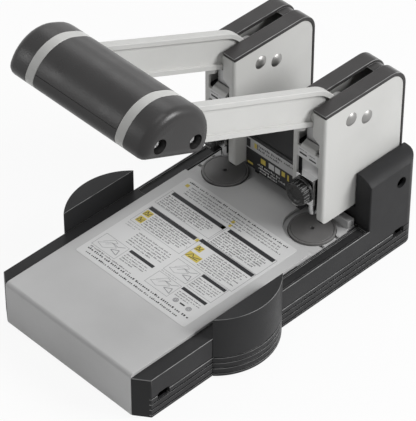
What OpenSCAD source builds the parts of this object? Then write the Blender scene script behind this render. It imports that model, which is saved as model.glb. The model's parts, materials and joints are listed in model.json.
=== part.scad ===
// Heavy duty two-hole punch: a steel-framed desk machine with a wide lever.
// The origin is on the table under the middle of the body. X runs to the
// right, Y to the back and Z up. Most sub-parts are drawn from the line
// through both punch axes, then moved back by punch_y.

/* [Base] */
// Width of the body
base_w = 136.6; // [134:0.2:142]
// Depth of the body from the front face to the back
base_d = 246; // [240:1:260]
// Distance from the punch axes to the back of the body
rear_y = 68.5; // [67:0.5:74]
// Height of the side strips above the table
strip_z = 34.4; // [33:0.2:36]
// Thickness of the moulded walls
wall = 2.6; // [2:0.1:3]
// Thickness of the deck under the cover plate
deck_t = 2.5; // [2:0.1:3]
// Corner radius at the back of the body
corner_r = 8.5; // [5:0.5:12]
// Width of the front corner chamfers
chamfer_w = 10.3; // [8:0.1:10.4]
// Depth of the front corner chamfers
chamfer_d = 7.5; // [5:0.5:10]
// Height of the rubber feet
foot_h = 2.2; // [2:0.1:4]
// Radius of the rubber feet
foot_r = 9; // [6:0.5:10]
// Distance from the front to the front feet
foot_front = 30; // [24:1:40]
// Distance from the rear to the rear feet
foot_rear = 22; // [20:1:30]
// Thickness of the bottom plate
bottom_t = 1.6; // [1.2:0.1:2]
// Height of the uppermost rib line
rib_top_z = 18.8; // [18:0.1:19.5]
// Distance between two rib lines
rib_pitch = 4.53; // [4:0.05:4.6]
// Number of rib lines
rib_count = 4; // [2:1:4]
// Height of one rib groove
rib_h = 1.1; // [0.6:0.1:1.4]
// Depth of one rib groove
rib_depth = 0.9; // [0.4:0.1:1.2]
// Length of the side hand holes
hand_hole_l = 10; // [8:0.5:11]
// Height of the side hand holes
hand_hole_h = 6.6; // [5:0.2:7]
// Depth of the troughs in the side strips
trough_depth = 1.4; // [0.8:0.1:1.8]

/* [Cover plate] */
// Distance from the body's sides to the cover plate
plate_side_w = 10.4; // [10:0.1:12]
// Thickness of the cover plate
plate_t = 2.2; // [1.5:0.1:2.6]
// Outer bend radius at the front of the cover plate
bend_r = 3; // [2.8:0.1:6]
// Distance from the punch axes to the rear edge of the cover plate
plate_rear = 19.4; // [18:0.1:21]
// Width of the tongue between the discs
tongue_w = 42; // [36:1:44]
// Width of the deck label
label_w = 100; // [80:1:104]
// Depth of the deck label
label_d = 101.5; // [60:0.5:104]

/* [Punching] */
// Distance between the two holes
hole_pitch = 80; // [79:0.5:81]
// Distance from the punch axes to the paper stop
gauge = 13.3; // [12:0.1:14]
// Radius of the punch discs
disc_r = 15.8; // [14:0.1:16]
// Thickness of the punch discs
disc_t = 5; // [4:0.1:5.4]
// Height that the discs stand out of the die bed
disc_proud = 1.5; // [1:0.1:2]
// Height of the top of the die bed
bed_z = 33.5; // [33:0.1:33.8]
// Thickness of the die bed
bed_t = 6; // [5.5:0.1:7]
// Distance from the punch axes to the ledge behind the discs
ledge_y = 16.6; // [16.4:0.1:17.4]
// Height of that ledge above the bed
ledge_h = 6; // [4:0.1:7]
// Distance from the body's sides to the die bed
bed_side = 10.1; // [9.8:0.1:11]
// Distance from the punch axes to the front of the die bed
bed_front = 32; // [28:0.5:36]
// Outer diameter of the hollow blades
blade_d = 6; // [5.5:0.1:6.4]
// Bore of the hollow blades
blade_bore = 5; // [4.2:0.1:5.2]
// Gap between the blade edge and the disc at the bottom of the stroke
disc_gap = 0.3; // [0.2:0.05:0.5]

/* [Base frame] */
// Thickness of the base frame plate
frame_t = 3; // [2.5:0.1:3.4]
// Height of the top of the base frame plate
frame_z = 11; // [10.5:0.1:11.2]
// Distance from the body's sides to the base frame plate
frame_side = 3.8; // [3.4:0.1:4.6]
// Radius of the anvils under the die bed
anvil_r = 15; // [10:0.5:16]

/* [Towers] */
// Width of a tower bracket
tower_w = 28; // [27.6:0.1:28.4]
// Distance from the punch axes to the front of the towers
tower_front = 6.4; // [6:0.1:7]
// Distance from the punch axes to the back of the towers
tower_rear = 65.2; // [64:0.1:66]
// Height of the top edge of the brackets
tower_top = 137; // [136.5:0.5:138]
// Height of the bottom edge of the brackets over the paper
tower_bottom = 49.3; // [48:0.1:51]
// Thickness of the bracket steel
steel = 2; // [1.6:0.1:2.2]
// Radius of the rear top corner
tower_corner = 12; // [8:0.5:16]
// Width of the window in the front of the bracket
window_w = 18.6; // [18.2:0.1:19]
// Width of the arm slot above the window
slot_w = 7.2; // [7:0.05:7.4]
// Height of the bottom edge of the cross plate
cross_z = 95.2; // [94:0.1:96]
// Height of the cross plate
cross_h = 11.3; // [10:0.1:11.4]
// Width of the bent lip on the cross plate
lip_w = 12.5; // [10:0.5:16]
// Front of the bracket legs behind the punch axes
leg_front = 27; // [26:0.5:30]
// Depth of the bracket legs
leg_d = 27; // [24:0.5:27]
// Width of the feet of the bracket legs
leg_foot = 8; // [7:0.1:8]

/* [Tower caps] */
// Height of the cap over the bracket edge
cap_h = 3.2; // [3:0.1:4]
// Width that the cap stands over each bracket side
cap_side = 0.5; // [0.3:0.1:0.8]
// Thickness of the rear wall of the cap
cap_rear_t = 2; // [1.8:0.1:2.4]
// Width of the slot in the cap
cap_slot_w = 7.4; // [7.2:0.05:8]
// Distance from the punch axes to the end of the open slot
cap_slot_end = 50; // [44:1:54]
// Depth of the channel behind the slot
cap_channel = 2.2; // [1.6:0.1:2.4]

/* [Lever] */
// Distance from the punch axes back to the lever pivot
pivot_y = 17.6; // [17.4:0.1:18]
// Height of the lever pivot
pivot_z = 124.1; // [123.8:0.1:124.6]
// Angle of the raised lever above level
rest_angle = 24.3; // [23.5:0.1:25]
// Angle that the lever turns through
sweep = 43.3; // [41:0.1:43.3]
// Diameter of the pivot and stop pins
pin_d = 8; // [7:0.1:8.4]
// Diameter of the domed pin heads
pin_head_d = 9.7; // [9.2:0.1:11]
// Height of the domed pin heads
pin_head_h = 1.9; // [1:0.1:2.2]
// Distance from the pivot back to the stop pin
stop_dy = 14.5; // [14.2:0.1:16]
// Distance from the pivot down to the stop pin
stop_dz = 6.2; // [5.5:0.1:7]
// Thickness of the lever arms
arm_t = 6.4; // [6:0.1:6.6]
// Height of the arm below the pivot line
arm_below = 8.5; // [7:0.1:8.6]
// Height of the arm above the pivot line
arm_above = 16.9; // [15:0.1:18]
// Radius of the arm hub round the pivot
hub_r = 11; // [9:0.1:11]
// Distance from the pivot to where the arm's top edge bends down
arm_bend = 28; // [27:0.5:30]
// Radius of that bend
arm_crown = 34; // [32:0.5:38]
// Height of the beads along the arm edges
bead = 3.4; // [2.5:0.1:4.5]
// Depth of the recess between the beads
recess = 1.9; // [1:0.1:2.4]
// Rim left at full thickness round the clevis slot
slot_rim = 3.6; // [3:0.1:4]
// Wall of the bronze bush in the arm hub
bush_wall = 1.5; // [1:0.1:2]
// Outer radius of the spacers beside the arm
spacer_r = 6; // [5.5:0.1:6.4]

/* [Handle] */
// Distance from the pivot to the middle of the handle
handle_reach = 171.2; // [165:0.1:176]
// Height of the handle middle above the pivot line
handle_rise = 1; // [0:0.1:3]
// Length of the handle
handle_l = 118.5; // [112:0.5:124]
// Radius of the handle's round sides
handle_r = 25.7; // [24:0.1:28]
// Half the width of the level top between them
handle_top = 2.6; // [0:0.1:4]
// Distance from the handle middle down to its flat underside
handle_flat = 7.5; // [6:0.1:8]
// Radius of the edges along the underside
handle_edge = 7; // [6.5:0.1:8]
// Rounding at the ends of the handle
handle_end_r = 6; // [3:0.5:6]
// Wall of the handle shells
shell_wall = 3; // [2.4:0.1:3.2]
// Width of the pale arm heads in the handle
ring_w = 6.8; // [6:0.1:7]
// Distance that the arm heads stand in from the arms
ring_in = 1.2; // [1:0.1:1.4]
// Height of the parting line above the pivot line
parting = 3.6; // [2.5:0.1:5]
// Distance between the two tie rods
rod_gap = 31; // [26:0.2:34]
// Diameter of the tie rods
rod_d = 9; // [8.5:0.1:9.4]
// Depth of the screw heads in the ends of the handle
screw_inset = 3; // [1:0.1:4]

/* [Punch holder] */
// Width of the punch holder
holder_w = 14; // [13.6:0.1:14.2]
// Distance from the punch axis to the front of the holder
holder_front = 3.9; // [3.8:0.05:4]
// Distance from the punch axis to the back of the holder
holder_back = 6; // [5.6:0.1:6.2]
// Height of the bottom of the raised holder
holder_z = 66; // [65:0.1:67]
// Height of the shoulder that backs the blade
blade_top = 92; // [90:0.5:94]
// Height of the step in the front of the holder
step_z = 99; // [98.4:0.1:99.6]
// Height of the floor between the clevis ears
clevis_z = 118.5; // [117:0.1:118.6]
// Diameter of the clevis pin
clevis_d = 5; // [4.5:0.1:5.2]
// Wall of the clevis ears round their pin
ear_wall = 1.5; // [1.2:0.1:1.5]
// Height of the lug that the return spring lifts
lug_z = 100; // [99:0.1:101]
// Half the width of the lug's neck
lug_half = 3.4; // [2.5:0.1:4]
// Thickness of that lug
lug_t = 6; // [5:0.1:6]
// Height of the clamp knob's axis
knob_z = 74; // [73:0.1:75]
// Radius of the clamp knob
knob_r = 9.2; // [8:0.1:9.4]
// Length of the clamp knob
knob_l = 8.8; // [8:0.1:9.6]
// Length of the smooth flange behind the knob's grip
knob_flange = 2.8; // [2:0.1:3.2]
// Number of grip grooves round the knob
knob_grooves = 24; // [8:1:26]
// Thickness of the steel clamp block
clamp_t = 4.5; // [3:0.1:5]
// Height of the clamp block
clamp_h = 21; // [19:0.1:21.4]
// Diameter of the clamp screw
stud_d = 5; // [4:0.1:5.2]

/* [Return spring] */
// Distance from the punch axis back to the spring axis
spring_y = 13; // [12.6:0.1:13.4]
// Middle diameter of the spring coil
spring_d = 7.8; // [7:0.1:8.2]
// Diameter of the spring wire
wire_d = 1.2; // [0.8:0.1:1.4]
// Number of turns
turns = 8; // [6:1:10]
// Diameter of the spring rod
spring_rod_d = 4.2; // [3.6:0.1:4.4]
// Height of the bottom of the guide block
block_z = 62; // [61:0.1:62.5]
// Height of the guide block rails
rail_h = 42; // [38:0.5:44]
// How far the rails stand out below the tower
rail_proud = 1.6; // [1:0.1:2]

/* [Side guides] */
// Distance from the punch axes forward to the middle of the guides
guide_y = 87; // [85:0.5:90]
// Radius of the guide's round side
guide_r = 43; // [40:0.5:46]
// Distance that the guides stand out from the body
guide_out = 13.2; // [11:0.1:15]
// Height of the top of the guides
guide_top = 51; // [48:0.5:56]
// Wall of the guides
guide_wall = 2.5; // [2:0.1:3]
// Distance that each guide draws out
guide_travel = 80.5; // [60:0.5:84]
// Width of the steel rulers
ruler_w = 12; // [10:0.1:12.4]
// Thickness of the steel rulers
ruler_t = 1.5; // [1:0.1:1.8]
// Height of the underside of the rulers
ruler_z = 24; // [23:0.1:24.5]
// Distance between the middles of the two rulers
ruler_gap = 14; // [13.6:0.1:15]

/* [Rear housing] */
// Distance from the punch axes to the front of the shoulders
shoulder_y = 23.7; // [23.4:0.1:25]
// Height of the outer edge of the shoulders
shoulder_edge = 71.3; // [70:0.1:72]
// Radius of the shoulders' round top
shoulder_r = 15; // [14:0.5:15]
// Distance from the body's side to the middle of the shoulder's arc
shoulder_side = 11.3; // [10.4:0.1:11.8]
// Height of the deck between the towers
rear_deck_z = 73.5; // [73:0.5:76]
// Distance from the punch axes to the front panel
panel_y = 5; // [4:0.1:6]
// Height of the lower edge of the front panel
panel_z = 46.5; // [45:0.1:48]
// Thickness of the front panel and the paper stop
panel_t = 2; // [1.6:0.1:2.2]
// Height of the lower edge of the pale gauge strip
strip_line_z = 62; // [60:0.5:63]
// Height of the gauge strip
gauge_strip_h = 9; // [7:0.5:9.5]
// Diameter of the shoulder screw holes
shoulder_hole_d = 8.3; // [6:0.1:9]
// Distance from the rear to the shoulder screw holes
shoulder_hole_y = 15.6; // [14:0.1:18]
// Distance from the shoulder's edge down to them
shoulder_hole_z = 12; // [10:0.5:14]

/* [Chip tray] */
// Height of the chip tray
tray_h = 20; // [16:0.5:20]
// Wall of the chip tray
tray_wall = 1.6; // [1.2:0.1:2]
// Distance from the body's sides to the chip tray
tray_side = 14.3; // [13.4:0.1:15]
// Depth of the wide part of the tray
tray_d = 13.5; // [12.5:0.1:13.5]
// Distance that the tray draws out
tray_travel = 40; // [30:1:40]

// Width of the finger notch in the tray
tray_notch_w = 26; // [20:1:30]
// Height of the finger notch
tray_notch_h = 7; // [6:0.5:9]

/* [Fasteners] */
// Diameter of the base screws
screw_d = 3; // [2.5:0.1:3.4]
// Length of the base screws at the body's bosses
screw_l = 14; // [12:1:18]
// Diameter of the heads of the base screws
screw_head_d = 6; // [5:0.1:6.5]
// Diameter of the tower and handle bolts
bolt_d = 5; // [4.5:0.1:5]
// Diameter of the bolt heads
bolt_head_d = 8.4; // [7.4:0.1:8.6]
// Height of the bolt heads
bolt_head_h = 2.6; // [2:0.1:3.2]

/* [Clearances] */
// Radial running fit of pins and shafts
fit = 0.05; // [0.02:0.01:0.08]
// Gap between a piece that moves and the piece beside it
gap = 0.4; // [0.3:0.05:0.45]
// Gap between a piece and the seat that it rests over
seat = 0.3; // [0.25:0.05:0.35]
// Joint gap between pieces that are fixed together
seam = 0.1; // [0.05:0.05:0.15]

/* [Hidden] */
$fn = 64;

black = [0.13, 0.13, 0.13];
grey = [0.45, 0.45, 0.46];
silver = [0.78, 0.78, 0.77];
bright = [0.86, 0.86, 0.86];
pale = [0.9, 0.9, 0.88];
bronze = [0.72, 0.52, 0.3];
rubber = [0.08, 0.08, 0.08];
over = 1;

punch_y = base_d / 2 - rear_y;
front_y = rear_y - base_d;
half_w = base_w / 2;
plate_w = base_w - 2 * plate_side_w;
bed_w = base_w - 2 * bed_side;
frame_w = base_w - 2 * frame_side;
tray_w = base_w - 2 * tray_side;
px = hole_pitch / 2;
plate_z = strip_z + plate_t;
disc_z = bed_z + disc_proud;
bottom_z = foot_h + bottom_t;
tower_in = px - tower_w / 2;
tower_out = px + tower_w / 2;
cap_z = tower_top + cap_h;
cap_back = tower_rear + cap_rear_t;
slot_r = pivot_y / cos(sweep / 2);
clevis_pin_z = pivot_z + pivot_y * tan(sweep / 2);
stroke = 2 * pivot_y * tan(sweep / 2);
blade_tip = disc_z + disc_gap + stroke;
stop_dist = norm([stop_dy, stop_dz]);
stop_from = rest_angle - atan2(stop_dz, stop_dy) + asin((pin_d / 2 + seat) / stop_dist);
slot_angle = rest_angle - sweep / 2;
ring_out = px + arm_t / 2 - ring_in + (ring_w - arm_t) / 2;
ring_inner = ring_out - ring_w;
guide_face = half_w + seat;
guide_cx = half_w + guide_out - guide_r;
guide_half = sqrt(pow(guide_r, 2) - pow(guide_face - guide_cx, 2));
guide_rear = -guide_y + guide_half;
ruler_mid = [-guide_y + ruler_gap / 2, -guide_y - ruler_gap / 2];
shoulder_cx = half_w - shoulder_side;
shoulder_cz = shoulder_edge - sqrt(pow(shoulder_r, 2) - pow(half_w - shoulder_cx, 2));
spring_foot = block_z + 4;
rail_w = tower_w / 2 - steel - seam - holder_w / 2 - gap;
tray_z = frame_z + gap;
leg_rear = leg_front + leg_d;
bolt_ys = [leg_front + 7, leg_rear - 7];
bolt_xs = [tower_in - leg_foot / 2 - 0.5, tower_out + leg_foot / 2 + 0.5];
foot_x = half_w - wall - foot_r - 4;
foot_ys = [front_y + foot_front, rear_y - foot_rear];
boss_points = [[half_w - wall - 14, front_y + 14], [half_w - wall - 4.2, rear_y - 6.5]];
standoff_points = [[30, -25], [30, 50]];
handle_y = -handle_reach;

// Moves a piece from the punch line's frame to the part's frame
module at_punch() translate([0, punch_y, 0]) children();

// Draws the right-hand piece, or its mirror image for the left side
module on_side(side) {
    if (side > 0) children();
    else mirror([1, 0, 0]) children();
}

// Turns the children with the raised lever, about the pivot axis
module on_lever() translate([0, pivot_y, pivot_z]) rotate([-rest_angle, 0, 0]) children();

// Extrusion along X of an outline in Y and Z
module across(x0, x1) translate([x0, 0, 0]) rotate([90, 0, 90]) linear_extrude(x1 - x0) children();

// Extrusion along Y of an outline in X and Z
module along(y0, y1) translate([0, y1, 0]) rotate([90, 0, 0]) linear_extrude(y1 - y0) children();

// Extrusion along Z of an outline in X and Y
module slab(z0, z1) translate([0, 0, z0]) linear_extrude(z1 - z0) children();

module block(x0, x1, y0, y1, z0, z1) translate([x0, y0, z0]) cube([x1 - x0, y1 - y0, z1 - z0]);

module rect(x0, x1, y0, y1) translate([x0, y0]) square([x1 - x0, y1 - y0]);

module rod_x(x0, x1, r) translate([x0, 0, 0]) rotate([0, 90, 0]) cylinder(h = x1 - x0, r = r);

// Outline of a cut that rounds one corner; sx and sy point into the shape
module corner_cut(x, y, sx, sy, r) {
    if (r > 0) difference() {
        translate([sx > 0 ? x - over : x - r, sy > 0 ? y - over : y - r]) square(r + over);
        translate([x + sx * r, y + sy * r]) circle(r);
    }
}

// Rectangle with its own radius at each corner, from the lower left round
module rounded(x0, x1, y0, y1, radii) {
    difference() {
        rect(x0, x1, y0, y1);
        corner_cut(x0, y0, 1, 1, radii[0]);
        corner_cut(x1, y0, -1, 1, radii[1]);
        corner_cut(x1, y1, -1, -1, radii[2]);
        corner_cut(x0, y1, 1, -1, radii[3]);
    }
}

// Low round head, its flat side on Z = 0
module dome(r, h) {
    ball = (r * r + h * h) / (2 * h);
    rotate_extrude() intersection() {
        translate([0, h - ball]) circle(ball);
        square([r, h]);
    }
}

// Body outline from above
module base_plan(inset = 0) {
    half = half_w - inset;
    front = front_y + inset;
    rear = rear_y - inset;
    lost = chamfer_w + chamfer_d - norm([chamfer_w, chamfer_d]);
    shrink = 1 - inset * lost / (chamfer_w * chamfer_d);
    cw = chamfer_w * shrink;
    cd = chamfer_d * shrink;
    r = max(corner_r - inset, 1);
    polygon([
        [-half, rear - r], [-half, front + cd], [-half + cw, front],
        [half - cw, front], [half, front + cd], [half, rear - r]
    ]);
    rect(-half + r, half - r, rear - 2 * r, rear);
    for (side = [-1, 1]) translate([side * (half - r), rear - r]) circle(r);
}

// Side view of the space under the cover plate's outer face, less a margin
module plate_side(margin) {
    r = bend_r - margin;
    translate([front_y + bend_r, plate_z - bend_r]) circle(r);
    rect(front_y + margin, front_y + bend_r + over, 0, plate_z - bend_r);
    rect(front_y + bend_r, gauge - seat, 0, plate_z - margin);
}

// Grooves in the side faces, round the plan that is left between them
module rib_grooves() {
    for (i = [0 : rib_count - 1]) {
        z = rib_top_z - i * rib_pitch;
        slab(z - rib_h, z) difference() {
            for (side = [-1, 1]) on_side(side)
                rect(half_w - rib_depth - 0.2, 2 * half_w, -base_d, base_d);
            children();
        }
    }
}

module hand_hole(y) {
    side_z = (rib_top_z + rib_top_z - rib_pitch) / 2;
    across(half_w - wall - over, half_w + over)
        rounded(y, y + hand_hole_l, side_z - hand_hole_h / 2, side_z + hand_hole_h / 2, [1, 1, 2, 2]);
}

// Trough in the strip between the side guide and the shoulder
module trough()
    block(bed_w / 2 + gap + 1, half_w - 1.8, guide_rear + 2, shoulder_y - 1.5,
        strip_z - trough_depth, strip_z + over);

// Room for a disc, and for the legs, feet and bolts of a tower
module tower_room() {
    foot_top = frame_z + steel + gap;
    translate([px, 0, disc_z - disc_t - seat]) cylinder(h = 2 * disc_t, r = disc_r + seat);
    translate([0, leg_front - gap, 0]) {
        block(tower_in - gap, tower_out + gap, 0, leg_d + 2 * gap, frame_z, strip_z + over);
        block(tower_in - leg_foot - gap, tower_out + leg_foot + gap, 0, leg_d + 2 * gap, frame_z, foot_top);
    }
    for (x = bolt_xs, y = bolt_ys) translate([x, y, bottom_z])
        cylinder(h = foot_top + bolt_head_h - bottom_z, r = bolt_head_d / 2 + gap);
}

module ruler_slot(x0, x1, mid)
    block(x0, x1, mid - ruler_w / 2 - gap, mid + ruler_w / 2 + gap, ruler_z - gap, ruler_z + ruler_t + gap);

module base_housing() {
    color(black) at_punch() difference() {
        union() {
            difference() {
                slab(foot_h, strip_z) base_plan();
                intersection() {
                    slab(foot_h - over, strip_z - deck_t) base_plan(wall);
                    block(-half_w, half_w, front_y + plate_t + wall, rear_y, 0, strip_z);
                }
                rib_grooves() rect(rib_depth - half_w, half_w - rib_depth, -base_d, base_d);
            }
            for (side = [-1, 1], p = boss_points)
                translate([side * p[0], p[1], bottom_z])
                    cylinder(h = strip_z - deck_t / 2 - bottom_z, r = 4.2);
        }
        across(-plate_w / 2 - seam, plate_w / 2 + seam) difference() {
            rect(front_y - over, gauge, 0, plate_z + over);
            plate_side(plate_t);
        }
        block(-bed_w / 2 - gap, bed_w / 2 + gap, -bed_front - gap, rear_y - wall,
            strip_z - deck_t - over, strip_z + over);
        for (side = [-1, 1]) on_side(side) {
            hand_hole(front_y + 13);
            hand_hole(rear_y - 21);
            trough();
            tower_room();
            ruler_slot(half_w - wall - over, half_w + over, ruler_mid[side > 0 ? 1 : 0]);
        }
        for (side = [-1, 1], p = boss_points)
            translate([side * p[0], p[1], 0]) cylinder(h = 20, r = screw_d / 2 + fit);
        block(-tray_w / 2 - gap, tray_w / 2 + gap, rear_y - wall - over, rear_y + over,
            tray_z - gap, tray_z + tray_h + gap);
    }
}

module base_plate() {
    color(grey) at_punch() difference() {
        intersection() {
            slab(foot_h, bottom_z) base_plan(wall + seam);
            block(-half_w, half_w, front_y + plate_t + wall + seam, rear_y, 0, strip_z);
        }
        for (side = [-1, 1], p = concat(boss_points, standoff_points))
            translate([side * p[0], p[1], 0]) cylinder(h = strip_z, r = screw_d / 2 + 0.2);
    }
}

module rubber_feet() {
    color(rubber) at_punch()
        for (side = [-1, 1], y = foot_ys) translate([side * foot_x, y, 0]) rotate_extrude()
            polygon([[0, 0], [foot_r - 0.8, 0], [foot_r, 0.8], [foot_r, foot_h], [0, foot_h]]);
}

module base_screws() {
    color(bright) at_punch() for (side = [-1, 1]) {
        for (p = boss_points) base_screw(side * p[0], p[1], screw_l);
        for (p = standoff_points) base_screw(side * p[0], p[1], frame_z - foot_h - 1);
    }
}

module base_screw(x, y, length) {
    translate([x, y, foot_h]) {
        cylinder(h = length, r = screw_d / 2);
        rotate([180, 0, 0]) difference() {
            dome(screw_head_d / 2, foot_h - 0.6);
            for (turn = [0, 90]) rotate([0, 0, turn])
                translate([-1.6, -0.4, 0.6]) cube([3.2, 0.8, foot_h]);
        }
    }
}

// Steel chassis: a folded plate that carries the anvils and the towers
module base_frame() {
    color(grey) at_punch() difference() {
        union() {
            block(-frame_w / 2, frame_w / 2, -bed_front - 4, leg_rear + 2, frame_z - frame_t, frame_z);
            for (side = [-1, 1]) on_side(side)
                block(frame_w / 2 - steel, frame_w / 2, -bed_front - 4, leg_rear + 2, bottom_z, frame_z);
            for (side = [-1, 1], p = standoff_points)
                translate([side * p[0], p[1], bottom_z]) cylinder(h = frame_z - bottom_z, r = 5);
        }
        for (side = [-1, 1], p = standoff_points)
            translate([side * p[0], p[1], 0]) cylinder(h = frame_z + over, r = screw_d / 2 + fit);
        for (side = [-1, 1], x = bolt_xs, y = bolt_ys)
            translate([side * x, y, 0]) cylinder(h = frame_z + over, r = bolt_d / 2 + fit);
    }
}

module die_anvils() {
    color(grey) at_punch() for (side = [-1, 1])
        translate([side * px, 0, frame_z]) cylinder(h = bed_z - bed_t - frame_z, r = anvil_r);
}

module die_bed() {
    color(silver) at_punch() difference() {
        union() {
            block(-bed_w / 2, bed_w / 2, -bed_front, 14.5, bed_z - bed_t, bed_z);
            block(-bed_w / 2 + 1.7, bed_w / 2 - 1.7, 14, shoulder_y - 1.3, bed_z - bed_t, bed_z);
            for (side = [-1, 1]) on_side(side)
                block(tower_in + 4, bed_w / 2 - 2.2, ledge_y, shoulder_y - 1.3,
                    bed_z - over, bed_z + ledge_h);
            block(-plate_w / 2 + 2, plate_w / 2 - 2, -bed_front, -plate_rear - 0.8, bed_z - over, strip_z);
            block(-tongue_w / 2 + over, tongue_w / 2 - over, -bed_front, gauge - seat - 0.5,
                bed_z - over, strip_z);
        }
        for (side = [-1, 1]) on_side(side) {
            translate([px, 0, disc_z - disc_t - seat]) cylinder(h = disc_t + over, r = disc_r + seat);
            for (y = [-7.3, 5.8])
                block(px + disc_r - 2, px + disc_r + 1.4, y - 1, y + 1, bed_z - 1.6, bed_z + over);
        }
    }
}

// Silver sheet, bent down over the front and cut out round both discs
module cover_plate() {
    color(silver) at_punch() difference() {
        across(-plate_w / 2, plate_w / 2) difference() {
            plate_side(0);
            plate_side(plate_t);
            rect(front_y - over, front_y + bend_r, -over, foot_h);
        }
        for (side = [-1, 1]) on_side(side) {
            translate([px, 0, 0]) cylinder(h = plate_z + over, r = plate_rear - 0.4);
            block(px, half_w, -plate_rear, gauge + over, 0, plate_z + over);
            block(tongue_w / 2, px, 0, gauge + over, 0, plate_z + over);
        }
    }
}

module deck_label() {
    rear = -plate_rear - 4.1;
    color(pale) at_punch() slab(plate_z, plate_z + 0.15)
        rounded(-label_w / 2, label_w / 2, rear - label_d, rear, [1.5, 1.5, 1.5, 1.5]);
}

// Cross-section of the right shoulder, in X and Z
module shoulder_section(inset) {
    r = shoulder_r - inset;
    x0 = tower_out + cap_side + seam + inset;
    intersection() {
        union() {
            translate([shoulder_cx, shoulder_cz]) circle(r);
            rect(shoulder_cx - r, shoulder_cx + r, 0, shoulder_cz);
            rect(x0, shoulder_cx, 0, shoulder_cz + r);
        }
        rect(x0, half_w - inset, 0, 2 * shoulder_cz);
    }
}

// Black cover behind the paper: both shoulders, the deck and the back wall
module rear_housing() {
    inner = tower_in - cap_side - seam;
    stop_back = gauge + panel_t;
    color(black) at_punch() difference() {
        intersection() {
            slab(strip_z, 2 * strip_z + 20) base_plan();
            union() {
                for (side = [-1, 1]) on_side(side) {
                    along(shoulder_y, rear_y + over) shoulder_section(0);
                    block(inner - over, tower_out + 2, shoulder_y, shoulder_y + wall, 0, tower_bottom - 1.5);
                }
                block(-half_w, half_w, tower_rear + seat, rear_y + over, 0, shoulder_edge);
                block(-inner, inner, panel_y + panel_t, rear_y + over, panel_z, rear_deck_z);
                block(-inner, inner, stop_back, rear_y + over, 0, rear_deck_z);
            }
        }
        for (side = [-1, 1]) on_side(side) {
            intersection() {
                slab(0, 2 * strip_z) base_plan(wall);
                along(shoulder_y + wall, rear_y) shoulder_section(wall);
            }
            translate([half_w - wall - over, rear_y - shoulder_hole_y, shoulder_edge - shoulder_hole_z])
                rod_x(0, 2 * wall + over, shoulder_hole_d / 2);
        }
        block(-inner + wall, inner - wall, stop_back + wall, rear_y - wall, 0, rear_deck_z - wall);
        block(-inner + wall, inner - wall, panel_y + panel_t + wall, rear_y - wall,
            panel_z + wall, rear_deck_z - wall);
    }
}

module front_panel() {
    color(black) at_punch()
        block(-tower_in + seat, tower_in - seat, panel_y, panel_y + panel_t, panel_z, rear_deck_z - 1.5);
}

module gauge_strip() {
    color(pale) at_punch()
        block(-tower_in + seat, tower_in - seat, panel_y - 0.4, panel_y,
            strip_line_z, strip_line_z + gauge_strip_h);
}

module paper_stop() {
    color(black) at_punch()
        block(-tower_in + seat, tower_in - seat, gauge, gauge + panel_t, strip_z, panel_z);
}

module bracket_plan() {
    r = steel + 0.5;
    difference() {
        rounded(tower_in, tower_out, -tower_front, tower_rear, [r, r, 0, 0]);
        rect(tower_in + steel, tower_out - steel, -tower_front + steel, tower_rear + over);
    }
}

// Front window, tapering to the slot for the arm
module window_outline() {
    w = window_w / 2;
    s = slot_w / 2;
    polygon([
        [px - w, 0], [px - w, 114], [px - s, 118], [px - s, tower_top + over],
        [px + s, tower_top + over], [px + s, 118], [px + w, 114], [px + w, 0]
    ]);
}

// Bent lip on top of the cross plate, which the pressed arm comes down to
module cross_lip_side() {
    z = cross_z + cross_h;
    y = -tower_front + steel + 0.5;
    difference() {
        union() {
            translate([y, z - steel - 0.5]) circle(steel + 0.5);
            polygon([[y, z - steel], [y, z], [y + 2.7, z + 1.3], [y + 2.7, z + 1.3 - steel]]);
        }
        rect(y - 4, y + 4, z - 2 * steel - 1, z - steel - 0.5);
        translate([y, z - steel - 0.5]) circle(0.5);
    }
}

module tower_bracket(side) {
    color(silver) at_punch() on_side(side) difference() {
        union() {
            intersection() {
                slab(tower_bottom, tower_top) bracket_plan();
                across(tower_in, tower_out)
                    rounded(-tower_front, tower_rear, tower_bottom, tower_top, [5, 0, tower_corner, 0]);
                difference() {
                    block(0, base_w, -tower_front - over, rear_y, 0, tower_top);
                    along(-tower_front - over, -tower_front + steel + 0.001) window_outline();
                }
            }
            block(px - window_w / 2 - 0.5, px + window_w / 2 + 0.5, -tower_front, -tower_front + steel,
                cross_z, cross_z + cross_h - steel - 0.5);
            across(px - lip_w / 2, px + lip_w / 2) cross_lip_side();
            for (x = [tower_in, tower_out - steel])
                block(x, x + steel, leg_front, leg_rear, frame_z, tower_bottom + over);
            for (x = [tower_in - leg_foot, tower_out - steel])
                block(x, x + leg_foot + steel, leg_front, leg_rear, frame_z, frame_z + steel);
        }
        translate([0, pivot_y, pivot_z]) rod_x(0, base_w, pin_d / 2 + fit);
        translate([0, pivot_y + stop_dy, pivot_z - stop_dz]) rod_x(0, base_w, pin_d / 2 + fit);
        for (x = bolt_xs, y = bolt_ys) translate([x, y, 0]) cylinder(h = 2 * frame_z, r = bolt_d / 2 + 0.2);
    }
}

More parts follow.
